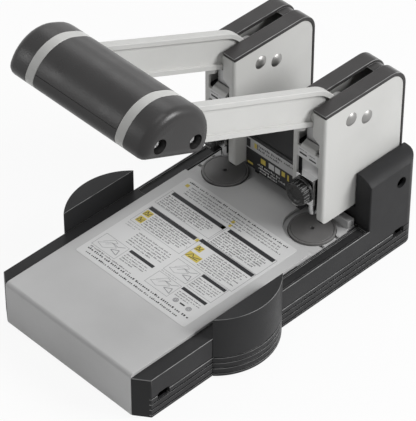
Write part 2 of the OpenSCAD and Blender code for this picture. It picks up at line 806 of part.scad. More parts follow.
// Slotted black cover over the top and the back of a tower
module tower_cap(side) {
    x0 = tower_in - cap_side;
    x1 = tower_out + cap_side;
    corner = tower_corner + cap_rear_t;
    foot = rear_deck_z + seam;
    color(black) at_punch() on_side(side) difference() {
        union() {
            across(x0, x1) difference() {
                rounded(-tower_front - 0.6, cap_back, foot, cap_z, [0, 0, corner, 0]);
                rounded(-tower_front - 2, tower_rear + seam / 2, 0, tower_top, [0, 0, tower_corner, 0]);
                rect(-tower_front - over, -tower_front, 0, tower_top + 1.8);
            }
            for (x = [tower_in + steel + seam, tower_out - steel - seam - 1.8])
                block(x, x + 1.8, -tower_front + steel + 2, tower_rear - tower_corner,
                    tower_top - 6.5, tower_top + over);
        }
        block(px - cap_slot_w / 2, px + cap_slot_w / 2, -tower_front - 2, cap_slot_end,
            tower_top - 10, cap_z + over);
        across(px - cap_slot_w / 2, px + cap_slot_w / 2) difference() {
            rect(cap_slot_end - over, cap_back + over, foot - over, cap_z + over);
            rounded(0, cap_back - 1.2, foot - 2 * over, cap_z - cap_channel, [0, 0, corner - 2, 0]);
        }
    }
}

// Plain pin with a domed head at both ends, outside the bracket walls
module tower_pin(side, y, z) {
    color(bright) at_punch() on_side(side) translate([0, y, z]) {
        rod_x(tower_in, tower_out, pin_d / 2);
        translate([tower_out, 0, 0]) rotate([0, 90, 0]) dome(pin_head_d / 2, pin_head_h);
        translate([tower_in, 0, 0]) rotate([0, -90, 0]) dome(pin_head_d / 2, pin_head_h);
    }
}

module pivot_spacers() {
    inner = arm_t / 2 + gap;
    outer = tower_w / 2 - steel;
    color(grey) at_punch() for (x = [-px, px], end = [-1, 1])
        translate([x + (end > 0 ? inner : -outer), pivot_y, pivot_z]) difference() {
            rod_x(0, outer - inner, spacer_r);
            rod_x(-over, outer, pin_d / 2 + fit);
        }
}

module tower_bolts() {
    z = frame_z + steel;
    color(bright) at_punch() for (side = [-1, 1], x = bolt_xs, y = bolt_ys)
        translate([side * x, y, 0]) {
            translate([0, 0, bottom_z + 2]) cylinder(h = z - bottom_z - 2 + over, r = bolt_d / 2);
            translate([0, 0, z]) difference() {
                cylinder(h = bolt_head_h, r = bolt_head_d / 2 - 0.4, $fn = 6);
                translate([0, 0, bolt_head_h - 0.6]) cylinder(h = over, r = 2);
            }
        }
}

// Rails beside and behind the punch holder, and the seat of its spring
module guide_block(side) {
    x0 = px - tower_w / 2 + steel + seam;
    back = holder_back + gap;
    color(black) at_punch() on_side(side) difference() {
        union() {
            for (end = [0, 1]) translate([2 * px * end, 0, 0]) mirror([end, 0, 0]) {
                block(x0, x0 + rail_w, -holder_front + gap, back + 1.8,
                    tower_bottom - rail_proud, block_z + rail_h);
                block(x0, px - lug_half - gap, back, back + 1.8, block_z, block_z + rail_h);
            }
            block(x0, 2 * px - x0, back, spring_y + 6, block_z, spring_foot);
        }
        translate([px, spring_y, block_z - over])
            cylinder(h = spring_foot - block_z + 2 * over, r = spring_rod_d / 2 + fit);
    }
}

module spring_rod(side) {
    color(bright) at_punch() on_side(side) translate([px, spring_y, block_z])
        cylinder(h = lug_z + lug_t - block_z - 1.5, r = spring_rod_d / 2);
}

// The coil is one tube of hexagonal section, with eight rings a turn
coil_steps = 8;
coil_sides = 6;
coil_low = spring_foot + wire_d / 2;
coil_high = lug_z - wire_d / 2;
function coil_point(i) = let (a = 360 * i / coil_steps)
    [spring_d / 2 * cos(a), spring_d / 2 * sin(a),
     coil_low + (coil_high - coil_low) * i / (turns * coil_steps)];
function coil_ring(i) = let (a = 360 * i / coil_steps, c = coil_point(i))
    [for (k = [0 : coil_sides - 1]) let (b = 360 * k / coil_sides)
        c + wire_d / 2 * [cos(b) * cos(a), cos(b) * sin(a), sin(b)]];
coil_rings = turns * coil_steps;
coil_points = [for (i = [0 : coil_rings]) each coil_ring(i)];
coil_faces = concat(
    [for (i = [0 : coil_rings - 1], k = [0 : coil_sides - 1]) let (n = (k + 1) % coil_sides)
        [i * coil_sides + k, i * coil_sides + n, (i + 1) * coil_sides + n]],
    [for (i = [0 : coil_rings - 1], k = [0 : coil_sides - 1]) let (n = (k + 1) % coil_sides)
        [i * coil_sides + k, (i + 1) * coil_sides + n, (i + 1) * coil_sides + k]],
    [for (k = [1 : coil_sides - 2]) [0, k + 1, k]],
    [for (k = [1 : coil_sides - 2]) coil_rings * coil_sides * [1, 1, 1] + [0, k, k + 1]]
);
function coil_pitch(i) = norm(coil_point(i + coil_steps) - coil_point(i));
coil_gap = min([for (i = [0 : coil_rings - coil_steps]) coil_pitch(i)]) - wire_d;
echo(least_gap_between_spring_turns = coil_gap);

module return_spring(side) {
    color(bright) at_punch() on_side(side) translate([px, spring_y, 0])
        polyhedron(points = coil_points, faces = coil_faces);
}

// Moulded bar under the deck, with a channel for each steel ruler
module ruler_channel() {
    half = half_w - wall - 2;
    color(black) at_punch() difference() {
        block(-half, half, -guide_y - ruler_gap / 2 - ruler_w / 2 - 5,
            -guide_y + ruler_gap / 2 + ruler_w / 2 + 5, ruler_z - 2.5, strip_z - deck_t);
        for (mid = ruler_mid) ruler_slot(-half - over, half + over, mid);
    }
}

// Handle section in the lever's frame: round sides over a flat underside
module handle_section(inset = 0) {
    r = handle_r - inset;
    e = handle_edge - inset;
    cz = handle_edge - handle_flat;
    cy = handle_top + sqrt(pow(handle_r - handle_edge, 2) - pow(cz, 2));
    translate([handle_y, handle_rise]) {
        intersection() {
            union() {
                for (s = [-1, 1]) translate([s * handle_top, 0]) circle(r);
                rect(-handle_top, handle_top, 0, r);
            }
            rect(-2 * r, 2 * r, cz, 2 * r);
        }
        rect(-cy, cy, -handle_flat + inset, cz + 0.5);
        for (s = [-1, 1]) translate([s * cy, cz]) circle(e);
    }
}

// Arm between the hub and the handle, or the web inside its beads
module arm_bar(inset = 0) {
    end = handle_reach - handle_top - handle_r;
    low = inset - arm_below;
    high = arm_above - inset;
    intersection() {
        rect(-arm_bend - over, 0, low, high);
        translate([-arm_bend, arm_above - arm_crown]) circle(arm_crown - inset, $fn = 128);
    }
    if (inset > 0)
        rounded(inset - end, -arm_bend, low, high, [2, 0, 0, 2]);
    else
        polygon([
            [-arm_bend, low], [-arm_bend, high], [-end - 12, high],
            [-end - 12, handle_rise - handle_flat], [-end - 2, handle_rise - handle_flat],
            [-end + 8, low]
        ]);
}

module arm_outline() {
    reach = stop_dist + 1.4;
    circle(hub_r);
    arm_bar();
    intersection() {
        circle(reach);
        polygon([[0, 0], 2 * reach * [cos(stop_from), sin(stop_from)], 2 * reach * [cos(50), sin(50)]]);
    }
}

// Sunk web, which leaves the hub and the rim of the clevis slot at full thickness
module arm_recess() difference() {
    arm_bar(bead);
    circle(hub_r + 2);
    translate(-slot_r * [cos(slot_angle), sin(slot_angle)]) circle(clevis_d / 2 + slot_rim);
}

module lever_arm(side) {
    x0 = px - arm_t / 2;
    x1 = px + arm_t / 2;
    color(silver) at_punch() on_side(side) on_lever() difference() {
        union() {
            difference() {
                across(x0, x1) arm_outline();
                across(x0 - over, x0 + recess) arm_recess();
                across(x1 - recess, x1 + over) arm_recess();
                across(ring_out, x1 + over) handle_section(-seam);
            }
            across(ring_inner, ring_out) handle_section();
        }
        rod_x(x0 - over, x1 + over, pin_d / 2 + bush_wall);
        rotate([slot_angle, 0, 0]) arm_slot(x0 - over, x1 + over);
        handle_bores(ring_inner - over, ring_out + 2, bolt_d / 2 + 0.2);
    }
}

// Short slot for the clevis pin, which lets it follow the straight stroke
module arm_slot(x0, x1) {
    r = clevis_d / 2 + 0.3;
    near = pivot_y - 0.3;
    far = slot_r + 0.3;
    across(x0, x1) rect(-far, -near, -r, r);
    for (d = [near, far]) translate([0, -d, 0]) rod_x(x0, x1, r);
}

module handle_bores(x0, x1, r) {
    for (s = [-1, 1]) translate([0, handle_y + s * rod_gap / 2, parting]) rod_x(x0, x1, r);
}

module pivot_bush(side) {
    color(bronze) at_punch() on_side(side) on_lever() difference() {
        rod_x(px - arm_t / 2, px + arm_t / 2, pin_d / 2 + bush_wall);
        rod_x(0, base_w, pin_d / 2 + fit);
    }
}

module handle_shell(top) {
    x = ring_inner - seam;
    color(black) at_punch() on_lever() intersection() {
        difference() {
            union() {
                across(-x, x) difference() {
                    handle_section();
                    handle_section(shell_wall);
                }
                for (rib = [-x + 8, 0, x - 8]) across(rib - 1.2, rib + 1.2) handle_section(shell_wall / 2);
            }
            handle_bores(-x - over, x + over, rod_d / 2 + fit);
        }
        translate([-base_w, handle_y - base_w, parting + (top ? seam / 2 : -2 * base_w - seam / 2)])
            cube(2 * base_w);
    }
}

module handle_end_cap(side) {
    x0 = ring_out + seam;
    x1 = handle_l / 2;
    inner = x1 - handle_end_r - 1;
    steps = 5;
    color(black) at_punch() on_side(side) on_lever() difference() {
        hull() {
            across(x0, x0 + 0.2) handle_section($fn = 40);
            for (i = [0 : steps]) {
                x = x1 - handle_end_r * (1 - sin(90 * i / steps));
                across(x - 0.2, x) handle_section(handle_end_r * (1 - cos(90 * i / steps)), $fn = 40);
            }
        }
        difference() {
            across(x0 - over, inner) handle_section(shell_wall);
            handle_bores(x0 - 2 * over, inner + over, bolt_head_d / 2 + 2);
        }
        handle_bores(x0 - over, x1 + over, bolt_d / 2 + 0.2);
        handle_bores(x1 - bolt_head_h - screw_inset, x1 + over, bolt_head_d / 2 + 0.8);
    }
}

module handle_tie_rods() {
    x = ring_inner - seam;
    color(bright) at_punch() on_lever() difference() {
        handle_bores(-x, x, rod_d / 2);
        for (side = [-1, 1]) on_side(side) handle_bores(x - 14, x + over, bolt_d / 2 + fit);
    }
}

module handle_screws() {
    head = handle_l / 2 - bolt_head_h - screw_inset;
    color(bright) at_punch() for (side = [-1, 1]) on_side(side) on_lever() {
        handle_bores(ring_inner - 12, head + 0.5, bolt_d / 2);
        for (s = [-1, 1]) translate([head, handle_y + s * rod_gap / 2, parting]) rotate([0, 90, 0])
            difference() {
                dome(bolt_head_d / 2, bolt_head_h);
                for (turn = [0, 90]) rotate([0, 0, turn + 20])
                    translate([-2.2, -0.5, bolt_head_h - 1.4]) cube([4.4, 1, bolt_head_h]);
            }
    }
}

module punch_holder(side) {
    x0 = px - holder_w / 2;
    x1 = px + holder_w / 2;
    ear = px - arm_t / 2 - gap;
    ear_r = clevis_d / 2 + ear_wall;
    color(grey) at_punch() on_side(side) difference() {
        union() {
            block(x0, x1, -holder_front, holder_back, holder_z, step_z);
            block(x0, x1, -0.5, holder_back, step_z - over, clevis_z);
            for (x = [x0, 2 * px - ear]) {
                block(x, x + ear - x0, -0.5, holder_back, clevis_z - over, clevis_pin_z);
                translate([0, 0, clevis_pin_z]) rod_x(x, x + ear - x0, ear_r);
            }
            block(px - lug_half, px + lug_half, holder_back - over, spring_y, lug_z, lug_z + lug_t);
            block(px - 5, px + 5, holder_back + 2.7, spring_y + 5, lug_z, lug_z + lug_t);
        }
        translate([px, 0, 0]) cylinder(h = blade_top, r = blade_d / 2 + fit);
        translate([px, 0, blade_top - over]) cylinder(h = 5.5 + over, r = blade_bore / 2);
        block(px - blade_bore / 2, px + blade_bore / 2, 0, holder_back + over,
            blade_top + 0.5, blade_top + 5.5);
        translate([0, 0, clevis_pin_z]) rod_x(x0 - over, x1 + over, clevis_d / 2 + fit);
        translate([px, 0, knob_z]) rotate([90, 0, 0]) cylinder(h = 2 * holder_front, r = stud_d / 2 + 0.1);
        translate([px, spring_y, lug_z - over]) cylinder(h = lug_t + 2 * over, r = spring_rod_d / 2 + 0.3);
    }
}

// Hollow cutter, ground to its edge from the inside
module punch_blade(side) {
    edge = (blade_d - blade_bore) / 2;
    color(bright) at_punch() on_side(side) translate([px, 0, 0]) rotate_extrude() polygon([
        [blade_bore / 2, blade_tip + 2 * edge], [blade_d / 2 - 0.05, blade_tip], [blade_d / 2, blade_tip],
        [blade_d / 2, blade_top], [blade_bore / 2, blade_top]
    ]);
}

module clevis_pin(side) {
    x0 = px - holder_w / 2;
    x1 = px + holder_w / 2;
    color(bright) at_punch() on_side(side) translate([0, 0, clevis_pin_z]) {
        rod_x(x0 - 1, x1 + 1, clevis_d / 2);
        for (x = [x0 - 1.1, x1]) rod_x(x, x + 1.1, clevis_d / 2 + 1);
    }
}

module clamp_block(side) {
    half = holder_w / 2 + 0.5;
    top = knob_z + clamp_h / 2 - 1;
    color(bright) at_punch() on_side(side) difference() {
        along(-holder_front - clamp_t, -holder_front) translate([px, 0])
            rounded(-half, half, top - clamp_h, top, [3, 1, 0.8, 0.8]);
        translate([px, 0, knob_z]) rotate([90, 0, 0]) cylinder(h = 20, r = stud_d / 2 + 0.1);
    }
}

module clamp_knob(side) {
    back = holder_front + clamp_t + gap;
    front = back + knob_l;
    grip = knob_r - 0.7;
    tip = blade_d / 2 + seat;
    color(black) at_punch() on_side(side) translate([px, 0, knob_z]) rotate([90, 0, 0]) difference() {
        rotate_extrude() polygon([
            [0, tip], [stud_d / 2, tip], [stud_d / 2, back], [knob_r - 0.8, back], [knob_r, back + 0.8],
            [knob_r, back + knob_flange - 0.5], [grip, back + knob_flange],
            [grip, front - 1.6], [grip - 0.5, front - 0.5], [grip - 1.6, front], [grip - 3, front],
            [grip - 4, front - 1], [0, front - 1]
        ]);
        for (i = [0 : knob_grooves - 1]) rotate([0, 0, 360 * i / knob_grooves])
            translate([grip + 0.1, 0, back + knob_flange - 0.1]) cylinder(h = knob_l, r = 0.75, $fn = 24);
    }
}

module punch_disc(side) {
    ring = disc_r - 1.8;
    color(grey) at_punch() on_side(side) translate([px, 0, disc_z]) difference() {
        translate([0, 0, -disc_t]) cylinder(h = disc_t, r = disc_r);
        translate([0, 0, -0.4]) difference() {
            cylinder(h = over, r = ring + 0.4);
            translate([0, 0, -over]) cylinder(h = 3 * over, r = ring);
        }
        translate([0, 0, -1.5]) cylinder(h = 3, r = 1.5);
    }
}

module guide_plan(inset) intersection() {
    translate([guide_cx, -guide_y]) circle(guide_r - inset, $fn = 128);
    rect(guide_face + inset, half_w + 2 * guide_out, -guide_y - guide_r, -guide_y + guide_r);
}

// Half-round paper guide, open at the bottom, that draws out sideways
module side_guide(side) {
    color(black) at_punch() on_side(side) difference() {
        slab(foot_h, guide_top) guide_plan(0);
        slab(foot_h - over, guide_top - guide_wall) guide_plan(guide_wall);
        rib_grooves() intersection() {
            translate([guide_cx, -guide_y]) circle(guide_r - rib_depth, $fn = 128);
            rect(0, base_w, -base_d, base_d);
        }
        block(guide_face - over, guide_face + guide_wall + over, guide_ruler_y(side) - ruler_w / 2 - seam,
            guide_ruler_y(side) + ruler_w / 2 + seam, ruler_z - seam, ruler_z + ruler_t + seam);
    }
}

function guide_ruler_y(side) = ruler_mid[side > 0 ? 1 : 0];

module guide_ruler(side) {
    y = guide_ruler_y(side);
    inside = guide_face + guide_wall;
    color(bright) at_punch() on_side(side) {
        block(half_w - guide_travel - 27, inside + 0.5, y - ruler_w / 2, y + ruler_w / 2,
            ruler_z, ruler_z + ruler_t);
        block(inside, inside + ruler_t, y - ruler_w / 2, y + ruler_w / 2, ruler_z, ruler_z + 7);
    }
}

// Tray with two long pockets under the towers and one across the back
module chip_tray() {
    half = tray_w / 2;
    pocket = tower_w / 2 - steel - gap - 0.2;
    front = leg_front;
    mid = rear_y - tray_d;
    color(black) at_punch() difference() {
        slab(tray_z, tray_z + tray_h) {
            rect(-half, half, mid, rear_y);
            for (x = [-px, px]) rect(x - pocket, x + pocket, front, mid + over);
        }
        slab(tray_z + tray_wall, tray_z + tray_h + over) {
            rect(-half + tray_wall, half - tray_wall, mid + tray_wall, rear_y - wall);
            for (x = [-px, px])
                rect(x - pocket + tray_wall, x + pocket - tray_wall, front + tray_wall, mid + 2 * tray_wall);
        }
        along(rear_y - 1.4, rear_y + over)
            rounded(-tray_notch_w / 2, tray_notch_w / 2, tray_z - over, tray_z + tray_notch_h, [0, 0, 5, 5]);
    }
}

base_housing();
base_plate();
rubber_feet();
base_screws();
base_frame();
die_anvils();
die_bed();
cover_plate();
deck_label();
rear_housing();
front_panel();
gauge_strip();
paper_stop();
tower_bracket(-1);  // tower_bracket_left
tower_bracket(1);  // tower_bracket_right
tower_cap(-1);  // tower_cap_left
tower_cap(1);  // tower_cap_right
tower_pin(-1, pivot_y, pivot_z);  // lever_pivot_left
tower_pin(1, pivot_y, pivot_z);  // lever_pivot_right
tower_pin(-1, pivot_y + stop_dy, pivot_z - stop_dz);  // stop_pin_left
tower_pin(1, pivot_y + stop_dy, pivot_z - stop_dz);  // stop_pin_right
pivot_spacers();
tower_bolts();
guide_block(-1);  // guide_block_left
guide_block(1);  // guide_block_right
spring_rod(-1);  // spring_rod_left
spring_rod(1);  // spring_rod_right
return_spring(-1);  // return_spring_left
return_spring(1);  // return_spring_right
ruler_channel();
lever_arm(-1);  // lever_arm_left
lever_arm(1);  // lever_arm_right
pivot_bush(-1);  // pivot_bush_left
pivot_bush(1);  // pivot_bush_right
handle_shell(true);  // handle_top_shell
handle_shell(false);  // handle_bottom_shell
handle_end_cap(-1);  // handle_end_cap_left
handle_end_cap(1);  // handle_end_cap_right
handle_tie_rods();
handle_screws();
punch_holder(-1);  // punch_holder_left
punch_holder(1);  // punch_holder_right
punch_blade(-1);  // punch_blade_left
punch_blade(1);  // punch_blade_right
clevis_pin(-1);  // clevis_pin_left
clevis_pin(1);  // clevis_pin_right
clamp_block(-1);  // clamp_block_left
clamp_block(1);  // clamp_block_right
clamp_knob(-1);  // clamp_knob_left
clamp_knob(1);  // clamp_knob_right
punch_disc(-1);  // punch_disc_left
punch_disc(1);  // punch_disc_right
side_guide(-1);  // side_guide_left
side_guide(1);  // side_guide_right
guide_ruler(-1);  // guide_ruler_left
guide_ruler(1);  // guide_ruler_right
chip_tray();
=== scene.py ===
"""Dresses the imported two-hole punch: meshes, finishes, studio and camera.

Each sub-assembly of the punch is a class that builds its pieces around the CAD
nodes that carry them. Sizes are in metres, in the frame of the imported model, and the
places of printed marks are in millimetres on their face.
"""

import json
import logging
import math
import random
from collections.abc import Mapping, Sequence
from dataclasses import dataclass, field, replace
from enum import Enum
from typing import NamedTuple, Union

import bmesh
import bpy
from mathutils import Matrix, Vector
from mathutils.bvhtree import BVHTree

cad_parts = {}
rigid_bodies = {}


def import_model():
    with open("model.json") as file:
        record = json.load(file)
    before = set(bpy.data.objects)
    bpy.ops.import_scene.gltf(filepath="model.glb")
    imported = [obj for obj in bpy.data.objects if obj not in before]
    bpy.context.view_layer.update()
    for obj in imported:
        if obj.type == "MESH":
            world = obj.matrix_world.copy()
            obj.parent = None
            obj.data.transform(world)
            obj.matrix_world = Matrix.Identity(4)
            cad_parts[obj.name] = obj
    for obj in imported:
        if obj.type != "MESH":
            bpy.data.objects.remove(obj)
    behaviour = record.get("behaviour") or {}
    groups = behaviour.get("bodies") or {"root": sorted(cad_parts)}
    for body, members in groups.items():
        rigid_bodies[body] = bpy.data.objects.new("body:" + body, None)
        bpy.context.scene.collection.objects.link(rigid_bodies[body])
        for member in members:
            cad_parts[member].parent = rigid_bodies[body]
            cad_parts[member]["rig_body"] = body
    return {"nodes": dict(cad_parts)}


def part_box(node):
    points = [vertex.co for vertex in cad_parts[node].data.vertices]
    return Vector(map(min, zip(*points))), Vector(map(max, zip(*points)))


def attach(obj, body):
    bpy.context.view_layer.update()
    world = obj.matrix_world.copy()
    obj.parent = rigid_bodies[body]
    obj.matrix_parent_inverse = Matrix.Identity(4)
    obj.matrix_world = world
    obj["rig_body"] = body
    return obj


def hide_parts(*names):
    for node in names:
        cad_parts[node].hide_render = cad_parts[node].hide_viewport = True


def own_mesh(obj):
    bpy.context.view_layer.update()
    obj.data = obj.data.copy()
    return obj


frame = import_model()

log = logging.getLogger("punch")

MM = 0.001
# Both punches stand on the line PUNCH_Y, each this far from its middle.
PUNCH_Y = 54.5 * MM
HALF_PITCH = 40 * MM
SIDES = {"left": -1, "right": 1}

Colour = tuple[float, float, float]
Point = tuple[float, float, float]
Spot = tuple[float, float]
Box = tuple[float, float, float, float]
# The width and the points of each line of a drawing.
Drawing = tuple[tuple[float, tuple[Spot, ...]], ...]


class Axis(Enum):
    """The three axes of the model's frame."""

    X = (1.0, 0.0, 0.0)
    Y = (0.0, 1.0, 0.0)
    Z = (0.0, 0.0, 1.0)


# The numbers of the sockets that a Mix node uses for colours.
MIX_SHARE, MIX_FIRST, MIX_SECOND, MIX_RESULT = 0, 6, 7, 2


class Wire:
    """A node socket that can be used in Python arithmetic on single values."""

    def __init__(self, graph: "Graph", socket: bpy.types.NodeSocket | None) -> None:
        """Keep the socket with the graph that it belongs to.

        Args:
            graph: The graph that new nodes are added to.
            socket: The output socket that holds the value, if the node has one.
        """
        self.graph = graph
        self.socket = socket

    def _math(self, operation: str, first: "Value", second: "Value") -> "Wire":
        """Add one Math node.

        Args:
            operation: The operation's name in Blender.
            first: The first value or link.
            second: The second value or link.

        Returns:
            The result of the operation.
        """
        return self.graph.node("ShaderNodeMath", {"operation": operation}, {0: first, 1: second})

    def __add__(self, other: "Value") -> "Wire":
        """Return this value plus the other."""
        return self._math("ADD", self, other)

    def __radd__(self, other: "Value") -> "Wire":
        """Return the other value plus this one."""
        return self._math("ADD", other, self)

    def __sub__(self, other: "Value") -> "Wire":
        """Return this value minus the other."""
        return self._math("SUBTRACT", self, other)

    def __rsub__(self, other: "Value") -> "Wire":
        """Return the other value minus this one."""
        return self._math("SUBTRACT", other, self)

    def __mul__(self, other: "Value") -> "Wire":
        """Return this value times the other."""
        return self._math("MULTIPLY", self, other)

    def __rmul__(self, other: "Value") -> "Wire":
        """Return the other value times this one."""
        return self._math("MULTIPLY", other, self)

    def __gt__(self, other: "Value") -> "Wire":
        """Return 1 where this value is the larger one, and 0 elsewhere."""
        return self._math("GREATER_THAN", self, other)


Value = Union[Wire, float, Sequence[float]]


class Graph:
    """The node tree of one material or world."""

    def __init__(self, tree: bpy.types.NodeTree) -> None:
        """Empty the tree and keep it.

        Args:
            tree: The node tree to build in.
        """
        tree.nodes.clear()
        self.tree = tree

    def node(
        self,
        kind: str,
        settings: Mapping[str, object] | None = None,
        sockets: Mapping[Union[str, int], Value] | None = None,
        output: Union[str, int] = 0,
    ) -> Wire:
        """Add one node, with its settings made before its sockets are filled.

        Args:
            kind: The node's type name.
            settings: Attributes of the node; "stops" are a ramp's positions and greys.
            sockets: Values or links by the socket's name or number.
            output: The name or number of the output socket to return.

        Returns:
            That output socket, ready for arithmetic.
        """
        made = self.tree.nodes.new(kind)
        for name, setting in (settings or {}).items():
            if name == "stops":
                self._set_stops(made, setting)
            else:
                setattr(made, name, setting)
        for key, value in (sockets or {}).items():
            socket = made.inputs[key]
            if isinstance(value, Wire):
                self.tree.links.new(value.socket, socket)
            elif isinstance(value, (int, float)):
                socket.default_value = value
            else:
                room = len(socket.default_value)
                socket.default_value = (*value, 1.0)[:room]
        return Wire(self, made.outputs[output]) if made.outputs else Wire(self, None)

    @staticmethod
    def _set_stops(ramp: bpy.types.Node, stops: Sequence[tuple[float, float]]) -> None:
        """Set a colour ramp's stops.

        Args:
            ramp: The colour ramp node.
            stops: Pairs of a position and a grey value, two or more.
        """
        elements = ramp.color_ramp.elements
        while len(elements) < len(stops):
            elements.new(0.5)
        for element, (position, grey) in zip(elements, stops):
            element.position = position
            element.color = (grey, grey, grey, 1.0)

    def place(self, stretch: Point = (1.0, 1.0, 1.0)) -> Wire:
        """Return the place on the piece in metres, stretched along each axis.

        Args:
            stretch: Factors for the three axes; a small one draws the pattern out.

        Returns:
            A vector link for the textures.
        """
        here = self.node("ShaderNodeTexCoord", output="Object")
        return self.node("ShaderNodeVectorMath", {"operation": "MULTIPLY"}, {0: here, 1: stretch})

    def noise(self, scale: float, detail: float = 3.0, stretch: Point = (1.0, 1.0, 1.0)) -> Wire:
        """Return a noise from 0 to 1.

        Args:
            scale: Spots per metre.
            detail: Octaves of finer noise.
            stretch: Factors for the three axes.

        Returns:
            The noise as a value link.
        """
        sockets = {"Vector": self.place(stretch), "Scale": scale, "Detail": detail}
        return self.node("ShaderNodeTexNoise", {}, sockets)

    def ramp(self, value: Wire, *stops: tuple[float, float]) -> Wire:
        """Return the value through a ramp of greys.

        Args:
            value: The value that picks the place on the ramp.
            stops: Pairs of a position and a grey value.

        Returns:
            The grey at that place.
        """
        return self.node("ShaderNodeValToRGB", {"stops": stops}, {0: value})

    def mix(self, share: Value, first: Value, second: Value) -> Wire:
        """Return a colour between two others.

        Args:
            share: How much of the second colour shows.
            first: The first colour.
            second: The second colour.

        Returns:
            The mixed colour as a link.
        """
        settings = {"data_type": "RGBA", "blend_type": "MIX"}
        sockets = {MIX_SHARE: share, MIX_FIRST: first, MIX_SECOND: second}
        return self.node("ShaderNodeMix", settings, sockets, output=MIX_RESULT)

    def bump(self, height: Wire, depth: float) -> Wire:
        """Return the normal of a surface with small heights on it.

        Args:
            height: The height from 0 to 1.
            depth: The height of 1, in metres.

        Returns:
            The normal as a link.
        """
        sockets = {"Height": height, "Distance": depth, "Strength": 1.0}
        return self.node("ShaderNodeBump", {}, sockets)


def shade(colour: Colour, factor: float) -> Colour:
    """Return the colour made darker or lighter by a factor."""
    return (colour[0] * factor, colour[1] * factor, colour[2] * factor)


@dataclass(frozen=True)
class Finish:
    """A finish of the punch: its constant values and what varies over it."""

    name: str
    slot: str
    colour: Colour
    roughness: float
    metallic: float = 0.0
    specular: float = 0.5

    def vary(self, graph: Graph) -> dict[str, Wire]:
        """Return links by the names of the sockets that vary over the surface."""
        raise NotImplementedError

    def material(self) -> bpy.types.Material:
        """Return the finish's material, made on its first use.

        Returns:
            The material with its node tree.
        """
        found = bpy.data.materials.get(self.name)
        if found:
            return found
        made = bpy.data.materials.new(self.name)
        made.use_nodes = True
        graph = Graph(made.node_tree)
        sockets: dict[Union[str, int], Value] = {
            "Base Color": self.colour,
            "Roughness": self.roughness,
            "Metallic": self.metallic,
            "Specular IOR Level": self.specular,
        }
        sockets.update(self.vary(graph))
        shader = graph.node("ShaderNodeBsdfPrincipled", {}, sockets)
        graph.node("ShaderNodeOutputMaterial", {}, {"Surface": shader})
        return made


@dataclass(frozen=True)
class MouldedPlastic(Finish):
    """Plastic from an eroded mould: fine even grain with a few rubbed places."""

    grain: float = 0.00006
    grain_scale: float = 2600.0
    rubbed: float = 0.1

    def vary(self, graph: Graph) -> dict[str, Wire]:
        """Return the grain, the rubbed places and a faint cloud of dust.

        Args:
            graph: The material's graph.

        Returns:
            Links for the colour, the roughness and the normal.
        """
        grain = graph.noise(self.grain_scale, detail=2.0)
        rub = graph.ramp(graph.noise(scale=55.0, detail=4.0), (0.45, 0.0), (0.7, 1.0))
        dust = graph.ramp(graph.noise(scale=18.0, detail=5.0), (0.4, 0.0), (0.8, 1.0))
        return {
            "Base Color": graph.mix(dust, shade(self.colour, 0.95), shade(self.colour, 1.2)),
            "Roughness": self.roughness - rub * self.rubbed + grain * 0.06,
            "Normal": graph.bump(grain, self.grain),
        }


@dataclass(frozen=True)
class HighlitEdgePlastic(MouldedPlastic):
    """Moulded plastic with a painted highlight on rounded edges that turn from one axis."""

    axis: Axis = Axis.Z
    # The colour of the painted highlight on rounded edges, in place of the lamps' glints.
    pale: Colour = (0.34, 0.34, 0.34)

    def vary(self, graph: Graph) -> dict[str, Wire]:
        """Return the grain, with a painted highlight laid over the colour of the rounded edges.

        Args:
            graph: The material's graph.

        Returns:
            Links for the colour, the roughness and the normal.
        """
        links = super().vary(graph)
        # The pale colour on rounded edges is a painted highlight for the lamps' glints; a noise
        # makes it patchy.
        normal = graph.node("ShaderNodeTexCoord", output="Normal")
        settings, sockets = {"operation": "DOT_PRODUCT"}, {0: normal, 1: self.axis.value}
        lean = graph.node("ShaderNodeVectorMath", settings, sockets, output="Value")
        edge = graph.ramp(lean, (0.12, 0.0), (0.35, 1.0), (0.8, 1.0), (0.96, 0.0))
        patchy = graph.ramp(graph.noise(scale=90.0, detail=4.0), (0.3, 0.35), (0.65, 1.0))
        edge_highlight = edge * patchy
        links["Base Color"] = graph.mix(edge_highlight, links["Base Color"], self.pale)
        links["Roughness"] = links["Roughness"] - edge_highlight * 0.12
        return links


@dataclass(frozen=True)
class Enamel(Finish):
    """Baked silver-grey paint with a slight orange peel and soft handling marks."""

    peel: float = 0.00003
    peel_scale: float = 700.0

    def vary(self, graph: Graph) -> dict[str, Wire]:
        """Return the peel, the fine metal flake and the handling marks.

        Args:
            graph: The material's graph.

        Returns:
            Links for the colour, the roughness and the normal.
        """
        peel = graph.noise(self.peel_scale, detail=2.0)
        flake = graph.noise(scale=6000.0, detail=1.0)
        marks = graph.ramp(graph.noise(scale=26.0, detail=6.0), (0.42, 0.0), (0.75, 1.0))
        tone = graph.mix(marks, shade(self.colour, 1.02), shade(self.colour, 0.95))
        return {
            "Base Color": graph.mix(flake * 0.12, tone, shade(self.colour, 1.25)),
            "Roughness": self.roughness + marks * 0.08 - flake * 0.04,
            "Normal": graph.bump(peel, self.peel),
        }


@dataclass(frozen=True)
class WorkedSteel(Finish):
    """Bare steel with the lines of its grinding or turning along one axis."""

    lay: Axis = Axis.X
    drawn_out: float = 0.04
    lines: float = 0.00001

    def vary(self, graph: Graph) -> dict[str, Wire]:
        """Return the working lines and some dull spots.

        Args:
            graph: The material's graph.

        Returns:
            Links for the colour, the roughness and the normal.
        """
        x, y, z = (self.drawn_out if part else 1.0 for part in self.lay.value)
        lines = graph.noise(scale=3500.0, detail=3.0, stretch=(x, y, z))
        dull = graph.ramp(graph.noise(scale=120.0, detail=4.0), (0.45, 0.0), (0.7, 1.0))
        return {
            "Base Color": graph.mix(lines, shade(self.colour, 0.9), shade(self.colour, 1.06)),
            "Roughness": self.roughness + lines * 0.12 + dull * 0.08,
            "Normal": graph.bump(lines, self.lines),
        }


